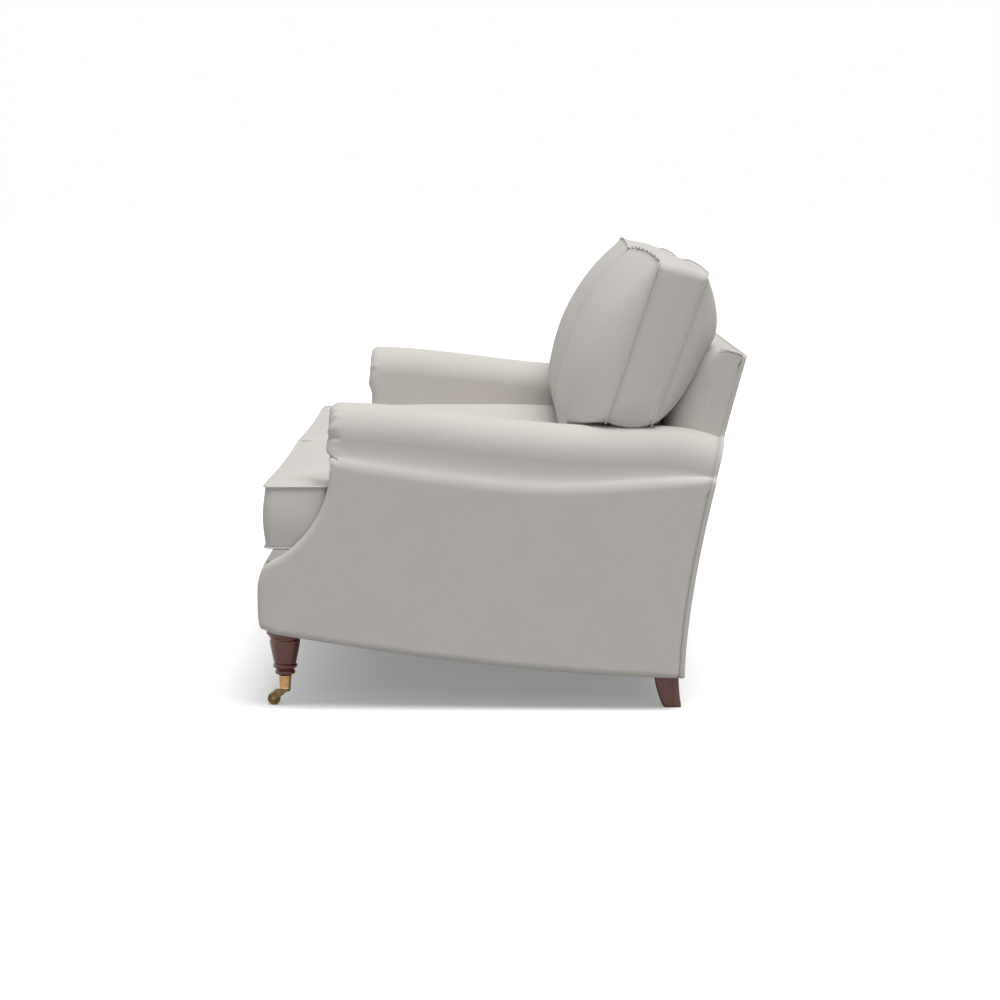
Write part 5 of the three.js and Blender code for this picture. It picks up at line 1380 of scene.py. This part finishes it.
class SOFA_OT_stage(Operator):
    """Set the camera at the photograph's angle, a pale floor, three soft lights and an even sky"""

    bl_idname = "sofa.stage"
    bl_label = "Stage"

    def execute(self, context):
        scene = context.scene
        lens = bpy.data.cameras.new("view")
        lens.lens, lens.sensor_width = scene.sofa_sizes.lens, 36.0
        lens.clip_end = 200.0
        camera = bpy.data.objects.new("view", lens)
        camera.location = CAMERA_PLACE
        camera.rotation_euler = [math.radians(turn) for turn in CAMERA_TURN]
        scene.collection.objects.link(camera)
        scene.camera = camera

        made, tree, shader, _ = principled("floor")
        rays = tree.nodes.new("ShaderNodeLightPath").outputs
        mirrored = maths(tree, "MULTIPLY", rays["Is Glossy Ray"], 0.5)
        shown = maths(tree, "MAXIMUM", rays["Is Camera Ray"], mirrored)
        white = shade((1, 1, 1), 1)
        feed(tree, shader, {"Roughness": 1.0, "Specular IOR Level": 0.0, "Emission Color": white,
                            "Base Color": mixed(tree, shown, shade(white, FLOOR_BOUNCE), shade(white, 0.9)),
                            "Emission Strength": maths(tree, "MULTIPLY", shown, FLOOR_GLOW)})
        rim = np.linspace(0, 2 * math.pi, 96, endpoint=False)
        radii = np.array([0.0, 2.0, 6.0, 20.0, 60.0])[:, None]
        disc = np.stack(np.broadcast_arrays(radii * np.cos(rim), radii * np.sin(rim), 0.0 * rim), axis=-1)
        floor = piece("floor", [patch(disc, ring=True)], [made])
        if floor.data.polygons[0].normal.z < 0:
            floor.data.flip_normals()

        world = scene.world or bpy.data.worlds.new("sky")
        scene.world = world
        world.use_nodes = True
        sky = world.node_tree
        sky.nodes.clear()
        rays = sky.nodes.new("ShaderNodeLightPath").outputs
        seen = maths(sky, "MAXIMUM", rays["Is Camera Ray"], rays["Is Glossy Ray"])
        seen = maths(sky, "MAXIMUM", seen, rays["Is Transmission Ray"])
        strength = maths(sky, "ADD", maths(sky, "MULTIPLY", seen, 1.0 - SKY), SKY)
        glow = node(sky, "ShaderNodeBackground", {"Color": white, "Strength": strength})
        node(sky, "ShaderNodeOutputWorld", {"Surface": glow.outputs[0]})

        for name, energy, angle, tilt in LAMPS:
            lamp = bpy.data.lights.new(name, "SUN")
            lamp.energy, lamp.angle = energy, math.radians(angle)
            sun = bpy.data.objects.new(name, lamp)
            sun.rotation_euler = [math.radians(turn) for turn in tilt]
            scene.collection.objects.link(sun)
        return {"FINISHED"}


class SOFA_OT_arms(Operator):
    """Upholster both arms: roll, cove and pleated front in one cover, and the outside panels"""

    bl_idname = "sofa.arms"
    bl_label = "Arms"

    def execute(self, context):
        sizes = context.scene.sofa_sizes
        for side, sign in SIDES.items():
            fitted(f"arm_upholstery_{side}", arm_patches(sizes.pleat), "frame", "upholstery_fabric",
                   f"arm_cover_{side}", side=sign, padded=0.9)
            fitted(f"outside_arm_panel_{side}", [outside_arm_patch(sizes.rim)], "frame", "upholstery_fabric",
                   f"outside_arm_{side}", side=sign, padded=1.0)
        return {"FINISHED"}


class SOFA_OT_back(Operator):
    """Upholster the back: the padded inside back with its end panels, and the outside back"""

    bl_idname = "sofa.back"
    bl_label = "Back"

    def execute(self, context):
        profile = back_profile()
        pad = bolster(profile, BACK_HALF, back_ends(profile), columns=60, spine=back_spine(profile))
        fitted("inside_back_pad", [pad, *back_seams(profile)], "frame", "upholstery_fabric",
               "inside_back", padded=0.9)
        fitted("outside_back_panel", outside_back_patches(), "frame", "upholstery_fabric",
               "outside_back", padded=1.0)
        return {"FINISHED"}


class SOFA_OT_apron_and_deck(Operator):
    """Upholster the front border and the deck under the cushions, and hang the lining below"""

    bl_idname = "sofa.apron_and_deck"
    bl_label = "Apron and deck"

    def execute(self, context):
        pad = bolster(border_profile(), PANEL_INNER_X - 0.1 * MM, 0.3 * MM, columns=70)
        fitted("front_border_pad", [pad], "frame", "upholstery_fabric", "front_border", padded=0.9)
        middle = np.array([0, -390 * MM])
        platform = plate(deck_outline(), middle, 4 * MM, DECK_TOP - DECK_LOW, on_deck)
        fitted("deck_pad", [platform], "frame", "upholstery_fabric", "seat_deck", padded=0.8)

        sheet = dust_sheet()
        lining = piece("lining", [lining_patch(sheet)], [finish_for("dust_cloth")])
        wall = lining.modifiers.new("cloth thickness", "SOLIDIFY")
        wall.thickness, wall.offset = 0.8 * MM, 0.0
        settle(lining, "frame", "dust_cloth", "dust_cover")
        return {"FINISHED"}


def hold_seams(mesh, bend=0.6):
    """Creases the edges at which faces meet at more than a bend, so that finer cloth keeps its seams."""
    sewn = bmesh.new()
    sewn.from_mesh(mesh)
    crease = sewn.edges.layers.float.new("crease_edge")
    for edge in sewn.edges:
        if edge.is_manifold and edge.calc_face_angle() > bend:
            edge[crease] = 0.85
    sewn.to_mesh(mesh)
    sewn.free()


def mirrored_copy(name, first):
    """The other side's cushion: the same mesh with X turned round."""
    made = bpy.data.objects.new(name, first.data.copy())
    bpy.context.scene.collection.objects.link(made)
    made.data.name = name
    move_points(made, mesh_points(made) * (-1, 1, 1))
    made.data.flip_normals()
    made.data.update()
    return made


def cushion_pair(kind, outline, form, place, freedom, sizes, closure, fill):
    """Both cushions of a kind: welded from its grids, blown up once and mirrored, each with a self
    welt along its two seams and a zip of its own."""
    first = None
    for side, sign in SIDES.items():
        body = f"{kind}_cushion_{side}"
        if first:
            made = mirrored_copy(body, first)
        else:
            cover = cushion_patches(outline, form, place)
            made = first = piece(body, cover, [finish_for("cushion_fabric")], sign, 0.05 * MM)
            simulate(made, freedom(mesh_points(made)), sizes.swell, sizes.frames)
            hold_seams(made.data)
        tubes = [tube for path, away in seam_paths(outline, form, place, WELT_LIFT)
                 for tube in piping(path, sizes.welt / 2, away, ring=True, across=0.72)]
        finer = made.modifiers.new("finer cloth", "SUBSURF")
        finer.levels = finer.render_levels = 1
        settle(made, body, "cushion_fabric", f"{kind}_cushion_cover_{side}",
               f"{kind}_cushion_core_{side}", padded=fill)
        fitted(f"{body}_welts", tubes, body, "cushion_fabric", side=sign)
        tape = piece(f"{kind}_cushion_closure_{side}", zip_patches(*closure),
                     [finish_for("zip_tape"), finish_for("castor_brass")], sign)
        settle(tape, body, "zip_tape", f"{kind}_cushion_zip_{side}")


class SOFA_OT_seat_cushions(Operator):
    """Fill the two T-shaped seat cushions and sew their welts"""

    bl_idname = "sofa.seat_cushions"
    bl_label = "Seat cushions"

    def execute(self, context):
        outline = cushion_shape(SEAT_PLAN, SEAT, lambda x, y: 3.7 * MM * seat_fullness(x, y),
                                lambda x, y: SEAT_CROWN * seat_fullness(x, y), seat_swells)
        rear, level = SEAT_PLAN["y"][1] - 5 * MM, (SEAT["low"] + SEAT["high"]) / 2
        closure = ((ZIP_INSET, rear, level), (SEAT_PLAN["x"][1] - ZIP_INSET, rear, level), (0, 1, 0),
                   (0, 0, 1))
        cushion_pair("seat", outline, SEAT, seat_place, seat_freedom, context.scene.sofa_sizes,
                     closure, 0.85)
        return {"FINISHED"}


class SOFA_OT_back_cushions(Operator):
    """Fill the two back cushions, whose ears stand over the arms, and sew their welts"""

    bl_idname = "sofa.back_cushions"
    bl_label = "Back cushions"

    def execute(self, context):
        outline = cushion_shape(BACK_PLAN, BACK, back_rear_crown, back_front_crown, back_swells)
        ends = back_place(np.array([ZIP_INSET, BACK_PLAN["x"][1] - ZIP_INSET]),
                          np.full(2, -BACK_DROP + 6.5 * MM), np.full(2, END_THICK / 2))
        closure = *ends, (0, -0.29, -0.96), (0, -0.96, 0.29)
        cushion_pair("back", outline, BACK, back_place, back_freedom, context.scene.sofa_sizes,
                     closure, 0.75)
        return {"FINISHED"}


class SOFA_OT_legs(Operator):
    """Turn the two front legs and saw the two rear legs"""

    bl_idname = "sofa.legs"
    bl_label = "Legs"

    def execute(self, context):
        for side, sign in SIDES.items():
            fitted(f"turned_leg_{side}", [turned(front_leg_profile(), (LEG_X, LEG_Y), 72)], "frame",
                   "leg_wood", f"front_leg_{side}", side=sign)
            fitted(f"sabre_leg_{side}", [rear_leg_patch()], "frame", "leg_wood", f"rear_leg_{side}",
                   side=sign)
        return {"FINISHED"}


class SOFA_OT_castors(Operator):
    """Fit a brass ferrule, fork, axle and wheel under each front leg"""

    bl_idname = "sofa.castors"
    bl_label = "Castors"

    def execute(self, context):
        for side, sign in SIDES.items():
            fitted(f"ferrule_{side}", [turned(cup_profile(), (LEG_X, LEG_Y), 56)], "frame", "castor_brass",
                   f"castor_cup_{side}", side=sign)
            for name, patches, body, node_name in (("fork", horn_patches(), "castor", "castor_horn"),
                                                   ("axle", [axle_patch()], "castor", "castor_axle"),
                                                   ("wheel", [wheel_patch()], "wheel", "castor_wheel")):
                fitted(f"{name}_{side}", patches, f"{body}_{side}", "castor_aged_brass",
                       f"{node_name}_{side}", side=sign)
        return {"FINISHED"}


STEPS = (SOFA_OT_stage, SOFA_OT_finishes, SOFA_OT_arms, SOFA_OT_back, SOFA_OT_apron_and_deck,
         SOFA_OT_seat_cushions, SOFA_OT_back_cushions, SOFA_OT_legs, SOFA_OT_castors)


class SOFA_PT_sidebar(Panel):
    """Lists the sofa's sizes, colours and steps in the sidebar"""

    bl_idname = "SOFA_PT_sidebar"
    bl_label = "English roll arm sofa"
    bl_space_type = "VIEW_3D"
    bl_region_type = "UI"
    bl_category = "Sofa"

    def draw(self, context):
        layout = self.layout
        for group in (context.scene.sofa_sizes, context.scene.sofa_colours):
            box = layout.box()
            for name in group.bl_rna.properties.keys():
                if name not in ("rna_type", "name"):
                    box.prop(group, name)
        for step in STEPS:
            layout.operator(step.bl_idname)


CLASSES = (SofaColours, SofaSizes, *STEPS, SOFA_PT_sidebar)


def register():
    for cls in CLASSES:
        bpy.utils.register_class(cls)
    bpy.types.Scene.sofa_sizes = PointerProperty(type=SofaSizes)
    bpy.types.Scene.sofa_colours = PointerProperty(type=SofaColours)


def unregister():
    del bpy.types.Scene.sofa_sizes
    del bpy.types.Scene.sofa_colours
    for cls in reversed(CLASSES):
        bpy.utils.unregister_class(cls)


def main():
    """Runs every step in order."""
    register()
    bpy.context.scene.view_settings.view_transform = "Standard"
    for step in STEPS:
        group, name = step.bl_idname.split(".")
        getattr(getattr(bpy.ops, group), name)()


if __name__ == "__main__":
    main()
